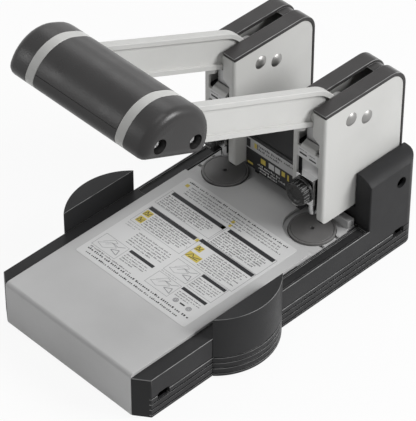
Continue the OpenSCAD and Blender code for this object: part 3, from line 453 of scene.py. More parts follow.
@dataclass(frozen=True)
class PlatedSteel(Finish):
    """Zinc-plated sheet: soft mottling, and a few dull runs."""

    mottle_scale: float = 90.0
    grain: float = 0.00002

    def vary(self, graph: Graph) -> dict[str, Wire]:
        """Return the mottling of the plating.

        Args:
            graph: The material's graph.

        Returns:
            Links for the colour, the roughness and the normal.
        """
        mottle = graph.noise(self.mottle_scale, detail=5.0)
        fine = graph.noise(scale=2400.0, detail=2.0)
        return {
            "Base Color": graph.mix(mottle, shade(self.colour, 0.82), shade(self.colour, 1.12)),
            "Roughness": self.roughness + mottle * 0.18 - fine * 0.05,
            "Normal": graph.bump(fine, self.grain),
        }


@dataclass(frozen=True)
class Film(Finish):
    """A printed film or an ink on it, with a barely uneven gloss."""

    wave: float = 0.00002

    def vary(self, graph: Graph) -> dict[str, Wire]:
        """Return the film's slight ripple and ageing.

        Args:
            graph: The material's graph.

        Returns:
            Links for the colour, the roughness and the normal.
        """
        ripple = graph.noise(scale=160.0, detail=2.0)
        age = graph.noise(scale=22.0, detail=4.0)
        return {
            "Base Color": graph.mix(age, shade(self.colour, 0.96), shade(self.colour, 1.02)),
            "Roughness": self.roughness + age * 0.1,
            "Normal": graph.bump(ripple, self.wave),
        }


BLACK = MouldedPlastic("moulded_black", "black_plastic", (0.027, 0.027, 0.028), 0.44, specular=0.1)
# BODY and CAP carry a painted highlight on their rounded edges.
BODY = HighlitEdgePlastic("body_black", "black_plastic", (0.031, 0.031, 0.032), 0.42, specular=0.1)
COVER = MouldedPlastic("cover_black", "black_plastic", (0.031, 0.031, 0.032), 0.42, specular=0.1)
CAP = HighlitEdgePlastic(
    "cap_black", "black_plastic", (0.04, 0.038, 0.038), 0.4, specular=0.2, pale=(0.3, 0.3, 0.3)
)
PANEL = MouldedPlastic("panel_black", "black_plastic", (0.022, 0.022, 0.023), 0.3, specular=0.3)
KNOB = MouldedPlastic("knob_black", "black_plastic", (0.006, 0.006, 0.006), 0.24, specular=0.4)
GRIP = MouldedPlastic(
    "grip_black", "grip_plastic", (0.02, 0.0188, 0.0188), 0.33,
    specular=0.42, grain=0.00008, grain_scale=1130.0,
)
GREY = MouldedPlastic(
    "disc_grey", "grey_plastic", (0.175, 0.172, 0.17), 0.42, specular=0.35, grain=0.00003
)
SILVER = Enamel("silver_enamel", "silver_paint", (0.58, 0.58, 0.565), 0.4, specular=0.4)
DECK = Enamel("deck_enamel", "silver_paint", (0.55, 0.55, 0.55), 0.42, specular=0.35)
ZINC = PlatedSteel("zinc_plate", "zinc_steel", (0.5, 0.5, 0.5), 0.36, metallic=0.85)
BRIGHT = WorkedSteel("bright_steel", "bright_steel", (0.5, 0.5, 0.5), 0.24, metallic=1.0)
SATIN = WorkedSteel("satin_steel", "bright_steel", (0.31, 0.306, 0.298), 0.32, metallic=0.85)
SCREW = PlatedSteel("screw_zinc", "bright_steel", (0.78, 0.78, 0.78), 0.5, metallic=0.3)
BRONZE = PlatedSteel("sintered_bronze", "bronze", (0.55, 0.36, 0.17), 0.42, metallic=0.9)
RUBBER = MouldedPlastic("rubber", "rubber", (0.02, 0.02, 0.02), 0.8, specular=0.2)
SHEET = Film("pale_film", "pale_sheet", (0.7, 0.7, 0.7), 0.38, specular=0.4)
STRIP = Film("strip_film", "pale_sheet", (0.5, 0.5, 0.5), 0.42, specular=0.4)
INK = Film("dark_ink", "pale_sheet", (0.03, 0.03, 0.033), 0.5, specular=0.2)
PALE_INK = Film("pale_ink", "pale_sheet", (0.6, 0.6, 0.6), 0.5, specular=0.2)
FAINT_INK = Film("faint_ink", "pale_sheet", (0.3, 0.3, 0.31), 0.5, specular=0.3)
YELLOW_INK = Film("yellow_ink", "pale_sheet", (0.62, 0.5, 0.1), 0.5, specular=0.3)


def body_of(node: str) -> str:
    """Return the name of the CAD body that a node belongs to."""
    return frame["nodes"][node]["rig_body"]


def settle(piece: bpy.types.Object, body: str, finish: Finish) -> bpy.types.Object:
    """Give a piece its finish and let it ride on its body.

    Args:
        piece: The piece, in its place in the model's frame.
        body: The CAD body that carries it.
        finish: The finish that covers it.

    Returns:
        The same piece.
    """
    piece.data.materials.clear()
    piece.data.materials.append(finish.material())
    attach(piece, body)
    log.info("%s: %d faces on %s", piece.name, len(piece.data.polygons), body)
    return piece


def add_mesh(
    name: str, points: Sequence[Point], faces: Sequence[Sequence[int]]
) -> bpy.types.Object:
    """Add an object with a new mesh to the scene.

    Args:
        name: The name of the piece.
        points: The vertices in metres.
        faces: The vertex numbers of each face.

    Returns:
        The new object.
    """
    mesh = bpy.data.meshes.new(name)
    mesh.from_pydata(points, [], faces)
    mesh.validate()
    piece = bpy.data.objects.new(name, mesh)
    bpy.context.scene.collection.objects.link(piece)
    return piece


# Faces that meet at more than SHARP have an edge, and those at less than FLAT are one face.
SHARP = math.radians(32)
FLAT = math.radians(0.5)
# Points that lie closer than this are one point.
MERGE = 0.02 * MM
# A rounding takes up this share of the room round its edge, and of its width inside a corner.
ROOM_SHARE = 0.42
INNER_CORNER = 0.3
# A place that lies beyond every piece.
BEYOND = 1.0


@dataclass
class EdgeRoom:
    """Measures how far a rounding may reach from each sharp edge of a shape.

    Attributes:
        shape: The shape whose edges are measured.
        nudge: The step off a face from which a look along it starts, in metres.
        half_limit: The largest half angle between two edges, just under a right angle.
    """

    shape: bmesh.types.BMesh
    nudge: float = 0.01 * MM
    half_limit: float = 1.55

    def __post_init__(self) -> None:
        """Prepare the search tree of the shape's faces."""
        self.tree = BVHTree.FromBMesh(self.shape)

    @staticmethod
    def is_sharp(edge: bmesh.types.BMEdge) -> bool:
        """Return whether the two faces of an edge meet at a clear angle."""
        return len(edge.link_faces) == 2 and edge.calc_face_angle(0.0) > SHARP

    def along_face(self, edge: bmesh.types.BMEdge, face: bmesh.types.BMFace) -> float:
        """Measure one face from the middle of one of its edges.

        Args:
            edge: The sharp edge.
            face: One of its two faces.

        Returns:
            The distance to where the face, or the wall under it, ends.
        """
        first, second = (vert.co for vert in edge.verts)
        middle = (first + second) / 2
        along = (second - first).normalized()
        inward = face.normal.cross(along)
        if inward.dot(face.calc_center_median() - middle) < 0:
            inward.negate()
        nearest, flat = BEYOND, False
        for other in face.edges:
            if other is edge:
                continue
            start, end = (vert.co - middle for vert in other.verts)
            a, b = start.dot(along), end.dot(along)
            if a * b > 0 or a == b:
                continue
            reach = start.dot(inward) + (end - start).dot(inward) * a / (a - b)
            if self.nudge < reach < nearest:
                nearest, flat = reach, not self.is_sharp(other)
        if flat:
            sign = -1.0 if edge.is_convex else 1.0
            origin = middle + face.normal * (sign * self.nudge) + inward * self.nudge
            hit = self.tree.ray_cast(origin, inward, BEYOND)
            nearest = hit[3] if hit[0] is not None else BEYOND
        return nearest

    def along_neighbours(self, edge: bmesh.types.BMEdge) -> float:
        """Measure how far a rounding may run along the edges that meet this one.

        Args:
            edge: The sharp edge.

        Returns:
            The smallest room that its neighbours leave.
        """
        room = BEYOND
        for face in edge.link_faces:
            for other in face.edges:
                shared = set(edge.verts) & set(other.verts)
                if other is edge or not shared:
                    continue
                half = (math.pi - self.turn(edge, other, shared.pop())) / 2
                shorter = min(edge.calc_length(), other.calc_length())
                room = min(room, shorter * math.tan(min(half, self.half_limit)))
        return room

    @staticmethod
    def turn(
        edge: bmesh.types.BMEdge, other: bmesh.types.BMEdge, vert: bmesh.types.BMVert
    ) -> float:
        """Return the angle that a line turns by from one edge to the next, in radians."""
        inward = vert.co - edge.other_vert(vert).co
        return inward.angle(other.other_vert(vert).co - vert.co, 0.0)

    def of(self, edge: bmesh.types.BMEdge) -> float:
        """Return the smallest room round one edge."""
        sides = (self.along_face(edge, face) for face in edge.link_faces)
        return min(*sides, self.along_neighbours(edge))

    def runs(self) -> list[list[bmesh.types.BMEdge]]:
        """Group the sharp edges into lines that run on smoothly.

        Returns:
            The edges of each line.
        """
        left = {edge for edge in self.shape.edges if self.is_sharp(edge)}
        groups = []
        while left:
            stack, group = [left.pop()], []
            while stack:
                edge = stack.pop()
                group.append(edge)
                for vert in edge.verts:
                    for other in vert.link_edges:
                        if other in left and self.turn(edge, other, vert) < SHARP:
                            left.remove(other)
                            stack.append(other)
            groups.append(group)
        return groups


@dataclass(frozen=True)
class Skin:
    """The dressed copy of one CAD node, with its edges rounded.

    Attributes:
        node: The CAD node that it stands for.
        finish: The finish that covers it.
        edge: The width of its rounded edges, in metres; 0 leaves them sharp.
        segments: The number of faces across each rounded edge.
        joint_y: Where a part above it begins, behind which its top edges stay sharp.
        joint_z: The height of that part's seam.
        slot_x: The middle of a slot that its faces are divided at, on each side.
    """

    node: str
    finish: Finish
    edge: float = 0.3 * MM
    segments: int = 2
    joint_y: float = BEYOND
    joint_z: float = BEYOND
    slot_x: float = 0.0

    def weigh_edges(self, shape: bmesh.types.BMesh) -> None:
        """Give each sharp edge the rounding that it has room for.

        Args:
            shape: The shape whose edges are weighed.
        """
        room = EdgeRoom(shape)
        weight = shape.edges.layers.float.new("bevel_weight_edge")
        for run in room.runs():
            free = [edge for edge in run if not self.at_joint(edge)]
            if free:
                share = min(1.0, ROOM_SHARE * min(room.of(edge) for edge in free) / self.edge)
                share *= 1.0 if any(edge.is_convex for edge in free) else INNER_CORNER
                for edge in free:
                    edge[weight] = share

    def at_joint(self, edge: bmesh.types.BMEdge) -> bool:
        """Return whether an edge lies on the seam with the part above."""
        middle = (edge.verts[0].co + edge.verts[1].co) / 2
        return middle.y > self.joint_y and abs(middle.z - self.joint_z) < MM

    @staticmethod
    def cut(shape: bmesh.types.BMesh, place: Vector) -> None:
        """Divide the faces of a shape along the plane through a place on one of the axes."""
        whole = [*shape.verts, *shape.edges, *shape.faces]
        bmesh.ops.bisect_plane(shape, geom=whole, plane_co=place, plane_no=place.normalized())

    def divide(self, shape: bmesh.types.BMesh) -> None:
        """Cut the long faces where the joint begins and through the slots.

        Args:
            shape: The shape that is divided.
        """
        # Cuts on each side keep the rounding's end from laying painted highlight on long faces.
        for step in (-1, 0, 1) if abs(self.joint_y) < BEYOND else ():
            self.cut(shape, Vector((0.0, self.joint_y + step * MM, 0.0)))
        for side in SIDES.values() if self.slot_x else ():
            self.cut(shape, Vector((side * self.slot_x, 0.0, 0.0)))

    def mesh(self) -> bpy.types.Mesh:
        """Make a clean copy of the node's mesh, with weighed edges.

        Returns:
            The new mesh.
        """
        mesh = frame["nodes"][self.node].data.copy()
        mesh.name = f"{self.node}_skin"
        shape = bmesh.new()
        shape.from_mesh(mesh)
        bmesh.ops.remove_doubles(shape, verts=shape.verts, dist=MERGE)
        bmesh.ops.dissolve_limit(shape, angle_limit=FLAT, verts=shape.verts, edges=shape.edges)
        self.divide(shape)
        for face in shape.faces:
            face.smooth = True
        for edge in shape.edges:
            edge.smooth = edge.calc_face_angle(math.pi) < SHARP
        if self.edge:
            shape.normal_update()
            self.weigh_edges(shape)
        shape.to_mesh(mesh)
        shape.free()
        return mesh

    def build(self) -> bpy.types.Object:
        """Make the copy and round its edges.

        Returns:
            The piece that stands for the node.
        """
        piece = bpy.data.objects.new(f"{self.node}_skin", self.mesh())
        bpy.context.scene.collection.objects.link(piece)
        if self.edge:
            bevel = piece.modifiers.new("edges", "BEVEL")
            bevel.width = self.edge
            bevel.segments = self.segments
            bevel.limit_method = "WEIGHT"
            bevel.use_clamp_overlap = False
            bevel.miter_outer = "MITER_ARC"
            weighted = piece.modifiers.new("normals", "WEIGHTED_NORMAL")
            weighted.keep_sharp = True
        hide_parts(self.node)
        return settle(piece, body_of(self.node), self.finish)


def both(skin: Skin) -> list[Skin]:
    """Return the skins of the left and the right node of a name."""
    return [replace(skin, node=f"{skin.node}_{side}") for side in SIDES]


# The pattern of blank print: strokes in a word, their heights and widths, and the gaps
# after a stroke and a word, as shares of the full height or width.
WORD_STROKES = (2, 8)
STROKE_RISES = (0.7, 0.7, 1.0)
STROKE_WIDTHS = (0.6, 1.0)
STROKE_GAP = 0.22
WORD_GAP = 0.7
# How much of a paragraph's width its lines and its last line fill.
FULL_LINE = (0.88, 1.0)
LAST_LINE = (0.45, 0.8)
# The pattern numbers of two paragraphs' lines lie this far apart.
SEED_STEP = 31


class Line(NamedTuple):
    """A line of blank strokes, in millimetres; their width is a share of their height."""

    left: float
    right: float
    base: float
    height: float
    seed: int
    wide: float = 0.55


class Text(NamedTuple):
    """A paragraph of such lines, in millimetres; its seed picks their pattern."""

    left: float
    right: float
    top: float
    lines: int
    pitch: float
    height: float
    seed: int


@dataclass
class Print:
    """Flat marks printed on one face of a piece.

    Attributes:
        name: The name of the printed piece.
        origin: The point of the face from which the marks are measured.
        across: The direction in which lines of print run.
        up: The direction from one line to the line before it.
        quads: Corners of the marks, in millimetres from the origin.
    """

    name: str
    origin: Point
    across: Axis
    up: Axis
    quads: list[tuple[Spot, ...]] = field(default_factory=list)

    def bars(self, *boxes: Box) -> None:
        """Add a filled mark for each box."""
        for left, low, right, high in boxes:
            self.quads.append(((left, low), (right, low), (right, high), (left, high)))

    def stroke(self, points: Sequence[Spot], line: float = 0.3) -> None:
        """Add a drawn line through some points.

        Args:
            points: The points of the line, in millimetres.
            line: Its width.
        """
        for (x0, y0), (x1, y1) in zip(points, points[1:]):
            length = math.hypot(x1 - x0, y1 - y0)
            dx, dy = (y0 - y1) / length * line / 2, (x1 - x0) / length * line / 2
            near, far = ((x0 - dx, y0 - dy), (x1 - dx, y1 - dy)), (x1 + dx, y1 + dy)
            self.quads.append((*near, far, (x0 + dx, y0 + dy)))

    def ring(self, x: float, y: float, reach: float, line: float, steps: int = 12) -> None:
        """Add a drawn circle.

        Args:
            x: The place of its middle, in millimetres.
            y: The height of its middle.
            reach: Its radius.
            line: The width of its line.
            steps: The number of straight strokes that make it.
        """
        turns = (math.tau * step / steps for step in range(steps + 1))
        self.stroke([(x + reach * math.cos(a), y + reach * math.sin(a)) for a in turns], line)

    def outlines(self, *boxes: Box, line: float = 0.3) -> None:
        """Add an open box of thin lines for each box.

        Args:
            boxes: The boxes' left, bottom, right and top edges, in millimetres.
            line: The width of the lines.
        """
        for left, low, right, high in boxes:
            self.bars(
                (left, low, right, low + line), (left, high - line, right, high),
                (left, low + line, left + line, high - line),
                (right - line, low + line, right, high - line),
            )

    def words(self, line: Line) -> None:
        """Add a line of blank strokes that reads as print from afar.

        Args:
            line: The line's place and pattern.
        """
        pick = random.Random(line.seed)
        x, wide = line.left, line.height * line.wide
        word = pick.randint(*WORD_STROKES)
        while x + wide < line.right:
            rise = line.height * pick.choice(STROKE_RISES)
            end = x + wide * pick.uniform(*STROKE_WIDTHS)
            self.bars((x, line.base, end, line.base + rise))
            x += line.height * (line.wide + STROKE_GAP)
            word -= 1
            if word == 0:
                x += line.height * WORD_GAP
                word = pick.randint(*WORD_STROKES)

    def block(self, text: Text) -> None:
        """Add a paragraph of such lines.

        Args:
            text: The paragraph's place and pattern.
        """
        pick = random.Random(text.seed)
        for number in range(text.lines):
            share = pick.uniform(*(LAST_LINE if number == text.lines - 1 else FULL_LINE))
            right = text.left + (text.right - text.left) * share
            base = text.top - text.height - number * text.pitch
            seed = text.seed * SEED_STEP + number
            self.words(Line(text.left, right, base, text.height, seed))

    def build(self, ink: Finish) -> bpy.types.Object:
        """Make one piece of all the marks, which rides on the base.

        Args:
            ink: The finish of the marks.

        Returns:
            The printed piece.
        """
        origin, across, up = Vector(self.origin), Vector(self.across.value), Vector(self.up.value)
        points: list[Point] = []
        faces: list[tuple[int, ...]] = []
        for quad in self.quads:
            faces.append(tuple(range(len(points), len(points) + len(quad))))
            points.extend(tuple(origin + across * (x * MM) + up * (y * MM)) for x, y in quad)
        return settle(add_mesh(self.name, points, faces), "base", ink)


def front_print(name: str, x: float, y: float) -> Print:
    """Start a print on a face that looks to the front, from the place of its ink."""
    return Print(name, (x, y, 0.0), Axis.X, Axis.Z)


class SubAssembly:
    """A group of nodes of the punch that is dressed together."""

    def skins(self) -> list[Skin]:
        """Return the skins of the group's nodes."""
        raise NotImplementedError

    def build(self) -> None:
        """Build the piece of each node."""
        for skin in self.skins():
            skin.build()


@dataclass
class Base(SubAssembly):
    """The body that stands on the table, with its plates, bed and tray.

    The tables give the marks of its label, measured from the middle between the punches.
    """

    seam_y: float = PUNCH_Y + 23.7 * MM
    seam_z: float = 34.4 * MM
    housing_edge: float = 0.5 * MM
    plate_edge: float = 0.2 * MM
    screw_edge: float = 0.1 * MM
    bed_edge: float = 0.4 * MM
    cover_edge: float = 0.45 * MM
    label_edge: float = 0.05 * MM
    plate_top: float = 36.6 * MM
    label_lift: float = 0.17 * MM
    ink_lift: float = 0.02 * MM
    bars: tuple[Box, ...] = (
        (-46, -44, 2.4, -40.8), (5.6, -43.4, 46.6, -40.2),
        (-46, -64.4, -3.4, -61.2), (-0.6, -62.6, 47, -59.4),
        (24, -84.8, 45, -82.2), (23.6, -101.8, 45, -99.2), (-24.6, -101.9, -2.8, -99.3),
    )
    lines: tuple[Line, ...] = (
        Line(-46, 45, -27.2, 1.4, 5, 0.8),
        Line(-46, 46, -118.0, 1.6, 21, 0.8),
        Line(-44, 40, -121.6, 1.4, 22, 0.8),
    )
    paragraphs: tuple[Text, ...] = (
        Text(-41, 46, -29.2, 4, 2.4, 1.05, 11),
        Text(-46, -1, -45.4, 6, 2.0, 1.15, 12),
        Text(5, 46, -44.6, 7, 2.05, 1.15, 13),
        Text(-38, -1, -65.6, 7, 2.0, 1.05, 14),
        Text(14.6, 46, -64.2, 8, 2.0, 1.05, 15),
        Text(-33, 0, -84.2, 6, 2.3, 1.05, 16),
        Text(24.5, 45, -86.4, 5, 2.1, 0.95, 17),
        Text(-24, -2, -103.6, 4, 2.1, 0.95, 18),
        Text(24.5, 45, -103.4, 3, 2.0, 0.95, 19),
        Text(-46, 3, -114.4, 1, 2.2, 1.1, 20),
    )
    frames: tuple[Box, ...] = (
        (-48, -57, 2.2, -40.6), (3.2, -59, 48, -40),
        (-46.6, -80.4, -0.6, -60.8), (2, -81, 47.8, -59.4),
        (-47.4, -113.4, -26, -99.6), (2, -97, 22.6, -83.4),
        (2, -113.4, 22.6, -100), (24, -97.6, 46, -81.6),
    )
    figures: tuple[Spot, ...] = ((-46.4, -112.6), (3, -96.4), (3, -112.8))
    figure_lines: Drawing = (
        (0.3, ((1, 3), (8, 9), (14, 7.4), (7, 1.6), (1, 3))),
        (0.3, ((3, 6), (8, 12), (11.5, 11), (6, 5))),
        (0.5, ((9, 9), (14, 8.6), (18, 11.6))),
        (0.6, ((12, 4), (17, 7), (18.4, 2.4), (12, 4))),
    )
    dots: tuple[Spot, ...] = ((28.7, -111.3), (40.4, -111.4))
    dot_rings: Spot = (0.8, 1.7)
    dash: tuple[Spot, Spot] = ((32.4, -111.2), (36.6, -111.2))
    captions: tuple[Text, ...] = (
        Text(-46, -34, -82, 2, 2.1, 0.9, 23),
        Text(2.4, 22, -98, 1, 2.1, 0.9, 24),
    )
    patches: tuple[Box, ...] = (
        (-45.4, -70.8, -39.4, -65.4), (-44.6, -78, -39, -72.2), (2.4, -70.4, 7.8, -65.2),
        (2.2, -78.4, 13.4, -72.8), (-0.4, -43.9, 2.4, -41.1), (-3, -64.3, -0.6, -61.5),
        (-46, -31.7, -43.2, -29), (0.6, -35.4, 3, -32.8), (2, -39.2, 4, -36.6),
    )
    # The left end, the foot and the width of the signs on the large patches.
    signs: tuple[Point, ...] = (
        (-45, -70.2, 5.2), (-44.2, -77.4, 4.8), (2.8, -69.8, 4.6), (2.8, -77.8, 10),
    )
    # Their points run across in shares of the sign's width.
    sign_lines: Drawing = (
        (0.5, ((0, 0), (0.3, 4.2), (0.5, 1.6), (1, 3.6))),
        (0.6, ((0.2, 0.4), (0.9, 1.2))),
    )

    def skins(self) -> list[Skin]:
        """Return the skins of all the base's nodes."""
        return [
            Skin("base_housing", BODY, self.housing_edge, 2, self.seam_y, self.seam_z),
            Skin("base_plate", ZINC, self.plate_edge),
            Skin("rubber_feet", RUBBER),
            Skin("base_screws", BRIGHT, self.screw_edge),
            Skin("base_frame", ZINC),
            Skin("die_anvils", ZINC, self.housing_edge),
            Skin("die_bed", DECK, self.bed_edge),
            Skin("cover_plate", DECK, self.cover_edge, segments=3),
            Skin("ruler_channel", BLACK),
            Skin("chip_tray", BLACK, self.bed_edge),
            Skin("deck_label", SHEET, self.label_edge, segments=1),
        ]

    def on_label(self, name: str, lift: float = 0.0) -> Print:
        """Start a print on the deck label, lifted above the first layer of ink."""
        height = self.plate_top + self.label_lift + lift
        return Print(name, (0.0, PUNCH_Y, height), Axis.X, Axis.Y)

    def label_bars(self) -> None:
        """Print the label's dark bars."""
        marks = self.on_label("deck_label_bars")
        marks.bars(*self.bars)
        marks.stroke(self.dash, line=1.2)
        marks.build(INK)

    def label_lines(self) -> None:
        """Print the label's blank lines."""
        marks = self.on_label("deck_label_lines")
        for text in self.paragraphs:
            marks.block(text)
        for line in self.lines:
            marks.words(line)
        marks.build(INK)

    def label_figures(self) -> None:
        """Print the label's frames, plain line figures and rings."""
        marks = self.on_label("deck_label_figures")
        marks.outlines(*self.frames)
        for x, y in self.figures:
            for line, points in self.figure_lines:
                marks.stroke([(x + dx, y + dy) for dx, dy in points], line)
        for x, y in self.dots:
            for reach in self.dot_rings:
                marks.ring(x, y, reach, line=0.7)
        for text in self.captions:
            marks.block(text)
        marks.build(FAINT_INK)

    def label_patches(self) -> None:
        """Print the label's yellow patches, with dark strokes on the large ones."""
        marks = self.on_label("deck_label_patches")
        marks.bars(*self.patches)
        marks.build(YELLOW_INK)
        signs = self.on_label("deck_label_signs", self.ink_lift)
        for x, y, wide in self.signs:
            for line, points in self.sign_lines:
                signs.stroke([(x + share * wide, y + dy) for share, dy in points], line)
        signs.build(INK)

    def build(self) -> None:
        """Build the base's pieces and print its label."""
        super().build()
        self.label_bars()
        self.label_lines()
        self.label_figures()
        self.label_patches()


@dataclass
class RearCover(SubAssembly):
    """The black cover behind the paper, with its front panel and gauge strip."""

    seam_z: float = 34.4 * MM
    housing_edge: float = 1.0 * MM
    panel_edge: float = 0.2 * MM
    strip_edge: float = 0.08 * MM
    strip_face: float = PUNCH_Y + 4.6 * MM
    panel_face: float = PUNCH_Y + 5.0 * MM
    lift: float = 0.03 * MM
    strip_text: Text = Text(-14, 24, 69.6, 2, 2.9, 1.9, 31)
    strip_bars: tuple[Box, ...] = ((-25, 63, -21.5, 70), (-15.4, 64.8, -14.8, 69.4))
    strip_patch: Box = (-17.9, 65, -15.6, 69.2)
    panel_boxes: tuple[Box, ...] = ((-5, 55.1, 0, 59.8), (0.8, 55.1, 5.3, 59.8))
    panel_dash: tuple[Spot, Spot] = ((14, 51.8), (22, 52.2))
    panel_text: tuple[Text, ...] = (
        Text(-15, 22, 53.4, 1, 2.2, 1.6, 41),
        Text(-14, 22, 51.0, 1, 2.2, 1.6, 42),
        Text(-13, 22, 48.6, 1, 2.2, 1.6, 43),
    )
    panel_patches: tuple[Box, ...] = (
        (-12.2, 55, -7.9, 59.2), (6.8, 56, 9.8, 60),
        (11.9, 54.8, 13.4, 59.8), (-24.2, 48.9, -19.4, 50.6),
    )

    def skins(self) -> list[Skin]:
        """Return the skins of all the cover's nodes."""
        return [
            Skin("rear_housing", COVER, self.housing_edge, 3, -BEYOND, self.seam_z),
            Skin("front_panel", PANEL, self.panel_edge),
            Skin("gauge_strip", STRIP, self.strip_edge, segments=1),
            Skin("paper_stop", BLACK),
        ]

    def strip_print(self) -> None:
        """Print the gauge strip with blank lines, bars and a patch."""
        face = self.strip_face - self.lift
        marks = front_print("gauge_strip_lines", 0.0, face)
        marks.block(self.strip_text)
        marks.bars(*self.strip_bars)
        marks.build(INK)
        patch = front_print("gauge_strip_patch", 0.0, face)
        patch.bars(self.strip_patch)
        patch.build(YELLOW_INK)

    def panel_print(self) -> None:
        """Print the panel under it with boxes, blank lines and patches."""
        face = self.panel_face - self.lift
        marks = front_print("front_panel_boxes", 0.0, face)
        marks.bars(*self.panel_boxes)
        marks.stroke(self.panel_dash, line=1.0)
        for text in self.panel_text:
            marks.block(text)
        marks.build(PALE_INK)
        patches = front_print("front_panel_patches", 0.0, face)
        patches.bars(*self.panel_patches)
        patches.build(YELLOW_INK)

    def build(self) -> None:
        """Build the cover's pieces and print its front."""
        super().build()
        self.strip_print()
        self.panel_print()


@dataclass
class ReturnSpring:
    """One coil spring under a punch holder, made as a round wire."""

    side: str
    axis_y: float
    wire: float
    coil_r: float
    foot: float
    top: float
    turns: int = 8
    travel: float = 13.99 * MM
    # How much closer the end turns lie, as on a ground spring.
    ease: float = 0.06
    rings: int = 20
    facets: int = 8

    @property
    def axis_x(self) -> float:
        """Return the place of the coil's axis across the punch."""
        return SIDES[self.side] * HALF_PITCH

    def ring(self, step: int) -> list[Point]:
        """Return the points round the wire at one step along the coil.

        Args:
            step: The number of the step from the foot.

        Returns:
            The points of that ring.
        """
        turn = math.tau * step / self.rings
        share = step / (self.turns * self.rings)
        low, high = self.foot + self.wire / 2, self.top - self.wire / 2
        rise = share - self.ease * math.sin(math.tau * share)
        middle = low + (high - low) * min(max(rise, 0.0), 1.0)
        points = []
        for facet in range(self.facets):
            angle = math.tau * facet / self.facets
            reach = self.coil_r + self.wire / 2 * math.cos(angle)
            x = self.axis_x + reach * math.cos(turn)
            y = self.axis_y + reach * math.sin(turn)
            points.append((x, y, middle + self.wire / 2 * math.sin(angle)))
        return points

    def build(self) -> None:
        """Build the coil, which rides on the base."""
        steps = self.turns * self.rings
        points = [point for step in range(steps + 1) for point in self.ring(step)]
        count = self.facets
        faces: list[tuple[int, ...]] = [tuple(range(count))[::-1]]
        for step in range(steps):
            for facet in range(count):
                after = (facet + 1) % count
                here, there = step * count, (step + 1) * count
                faces.append((here + facet, here + after, there + after, there + facet))
        faces.append(tuple(range(steps * count, (steps + 1) * count)))
        piece = add_mesh(f"return_spring_{self.side}_coil", points, faces)
        for polygon in piece.data.polygons:
            polygon.use_smooth = True
        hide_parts(f"return_spring_{self.side}")
        settle(piece, "base", BRIGHT)
        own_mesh(piece)


@dataclass
class Towers(SubAssembly):
    """Both towers: folded brackets, caps, pins, rails and springs."""

    bracket_edge: float = 0.4 * MM
    cap_edge: float = 1.4 * MM
    pin_edge: float = 0.15 * MM
    fitting_edge: float = 0.2 * MM
    spring_wire: float = 1.2 * MM
    face: float = PUNCH_Y - 6.4 * MM
    lift: float = 0.03 * MM
    sticker: Box = (-8.2, 96, 8.2, 103.6)
    sticker_bars: tuple[Box, ...] = ((-7, 98.4, -0.8, 99.8), (1.4, 97.4, 7.4, 98.6))
    sticker_lines: tuple[Line, ...] = (
        Line(-7.4, 0, 101.6, 0.9, 61), Line(1, 7.6, 100.6, 0.9, 64),
    )

    def skins(self) -> list[Skin]:
        """Return the skins of all the towers' nodes but the springs."""
        return [
            *both(Skin("tower_bracket", SILVER, self.bracket_edge, segments=3)),
            *both(Skin("tower_cap", CAP, self.cap_edge, segments=3, slot_x=HALF_PITCH)),
            *both(Skin("lever_pivot", SATIN, self.pin_edge)),
            *both(Skin("stop_pin", SATIN, self.pin_edge)),
            Skin("pivot_spacers", ZINC, self.fitting_edge),
            Skin("tower_bolts", BRIGHT, self.fitting_edge),
            *both(Skin("guide_block", BLACK)),
            *both(Skin("spring_rod", BRIGHT, self.fitting_edge)),
        ]

    def cross_labels(self) -> None:
        """Put the small pale stickers with plain strokes on both cross plates."""
        for side, sign in SIDES.items():
            x, y = sign * HALF_PITCH, self.face - self.lift
            sheet = front_print(f"cross_sticker_{side}", x, y)
            sheet.bars(self.sticker)
            sheet.build(SHEET)
            strokes = front_print(f"cross_strokes_{side}", x, y - self.lift)
            strokes.bars(*self.sticker_bars)
            for line in self.sticker_lines:
                strokes.words(line._replace(seed=line.seed + sign))
            strokes.build(INK)

    def build(self) -> None:
        """Build the towers' pieces, springs and stickers."""
        super().build()
        for side in SIDES:
            low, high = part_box(f"return_spring_{side}")
            middle, wire = (low.y + high.y) / 2, self.spring_wire
            reach = (high.x - low.x) / 2 - wire / 2
            ReturnSpring(side, middle, wire, reach, low.z, high.z).build()
        self.cross_labels()


@dataclass
class Lever(SubAssembly):
    """The two arms with their heads, bushes and the wide handle."""

    arm_edge: float = 0.6 * MM
    bush_edge: float = 0.1 * MM
    shell_edge: float = 0.25 * MM
    screw_edge: float = 0.15 * MM

    def skins(self) -> list[Skin]:
        """Return the skins of all the lever's nodes."""
        return [
            *both(Skin("lever_arm", SILVER, self.arm_edge, segments=3)),
            *both(Skin("pivot_bush", BRONZE, self.bush_edge)),
            Skin("handle_top_shell", GRIP, self.shell_edge),
            Skin("handle_bottom_shell", GRIP, self.shell_edge),
            *both(Skin("handle_end_cap", GRIP, edge=0.0)),
            Skin("handle_tie_rods", BRIGHT),
            Skin("handle_screws", SCREW, self.screw_edge),
        ]


@dataclass
class PunchHeads(SubAssembly):
    """Both punch holders with their blades, pins, clamps, knobs and discs."""

    pin_edge: float = 0.2 * MM
    clamp_edge: float = 0.4 * MM
    disc_edge: float = 0.35 * MM

    def skins(self) -> list[Skin]:
        """Return the skins of all the heads' nodes."""
        return [
            *both(Skin("punch_holder", ZINC)),
            *both(Skin("punch_blade", BRIGHT, edge=0.0)),
            *both(Skin("clevis_pin", BRIGHT, self.pin_edge)),
            *both(Skin("clamp_block", BRIGHT, self.clamp_edge)),
            *both(Skin("clamp_knob", KNOB)),
            *both(Skin("punch_disc", GREY, self.disc_edge)),
        ]


@dataclass
class PaperGuides(SubAssembly):
    """Both side guides with their steel rulers."""

    guide_edge: float = 0.5 * MM
    ruler_edge: float = 0.15 * MM

    def skins(self) -> list[Skin]:
        """Return the skins of all the guides' nodes."""
        return [
            *both(Skin("side_guide", BODY, self.guide_edge, segments=3)),
            *both(Skin("guide_ruler", BRIGHT, self.ruler_edge)),
        ]


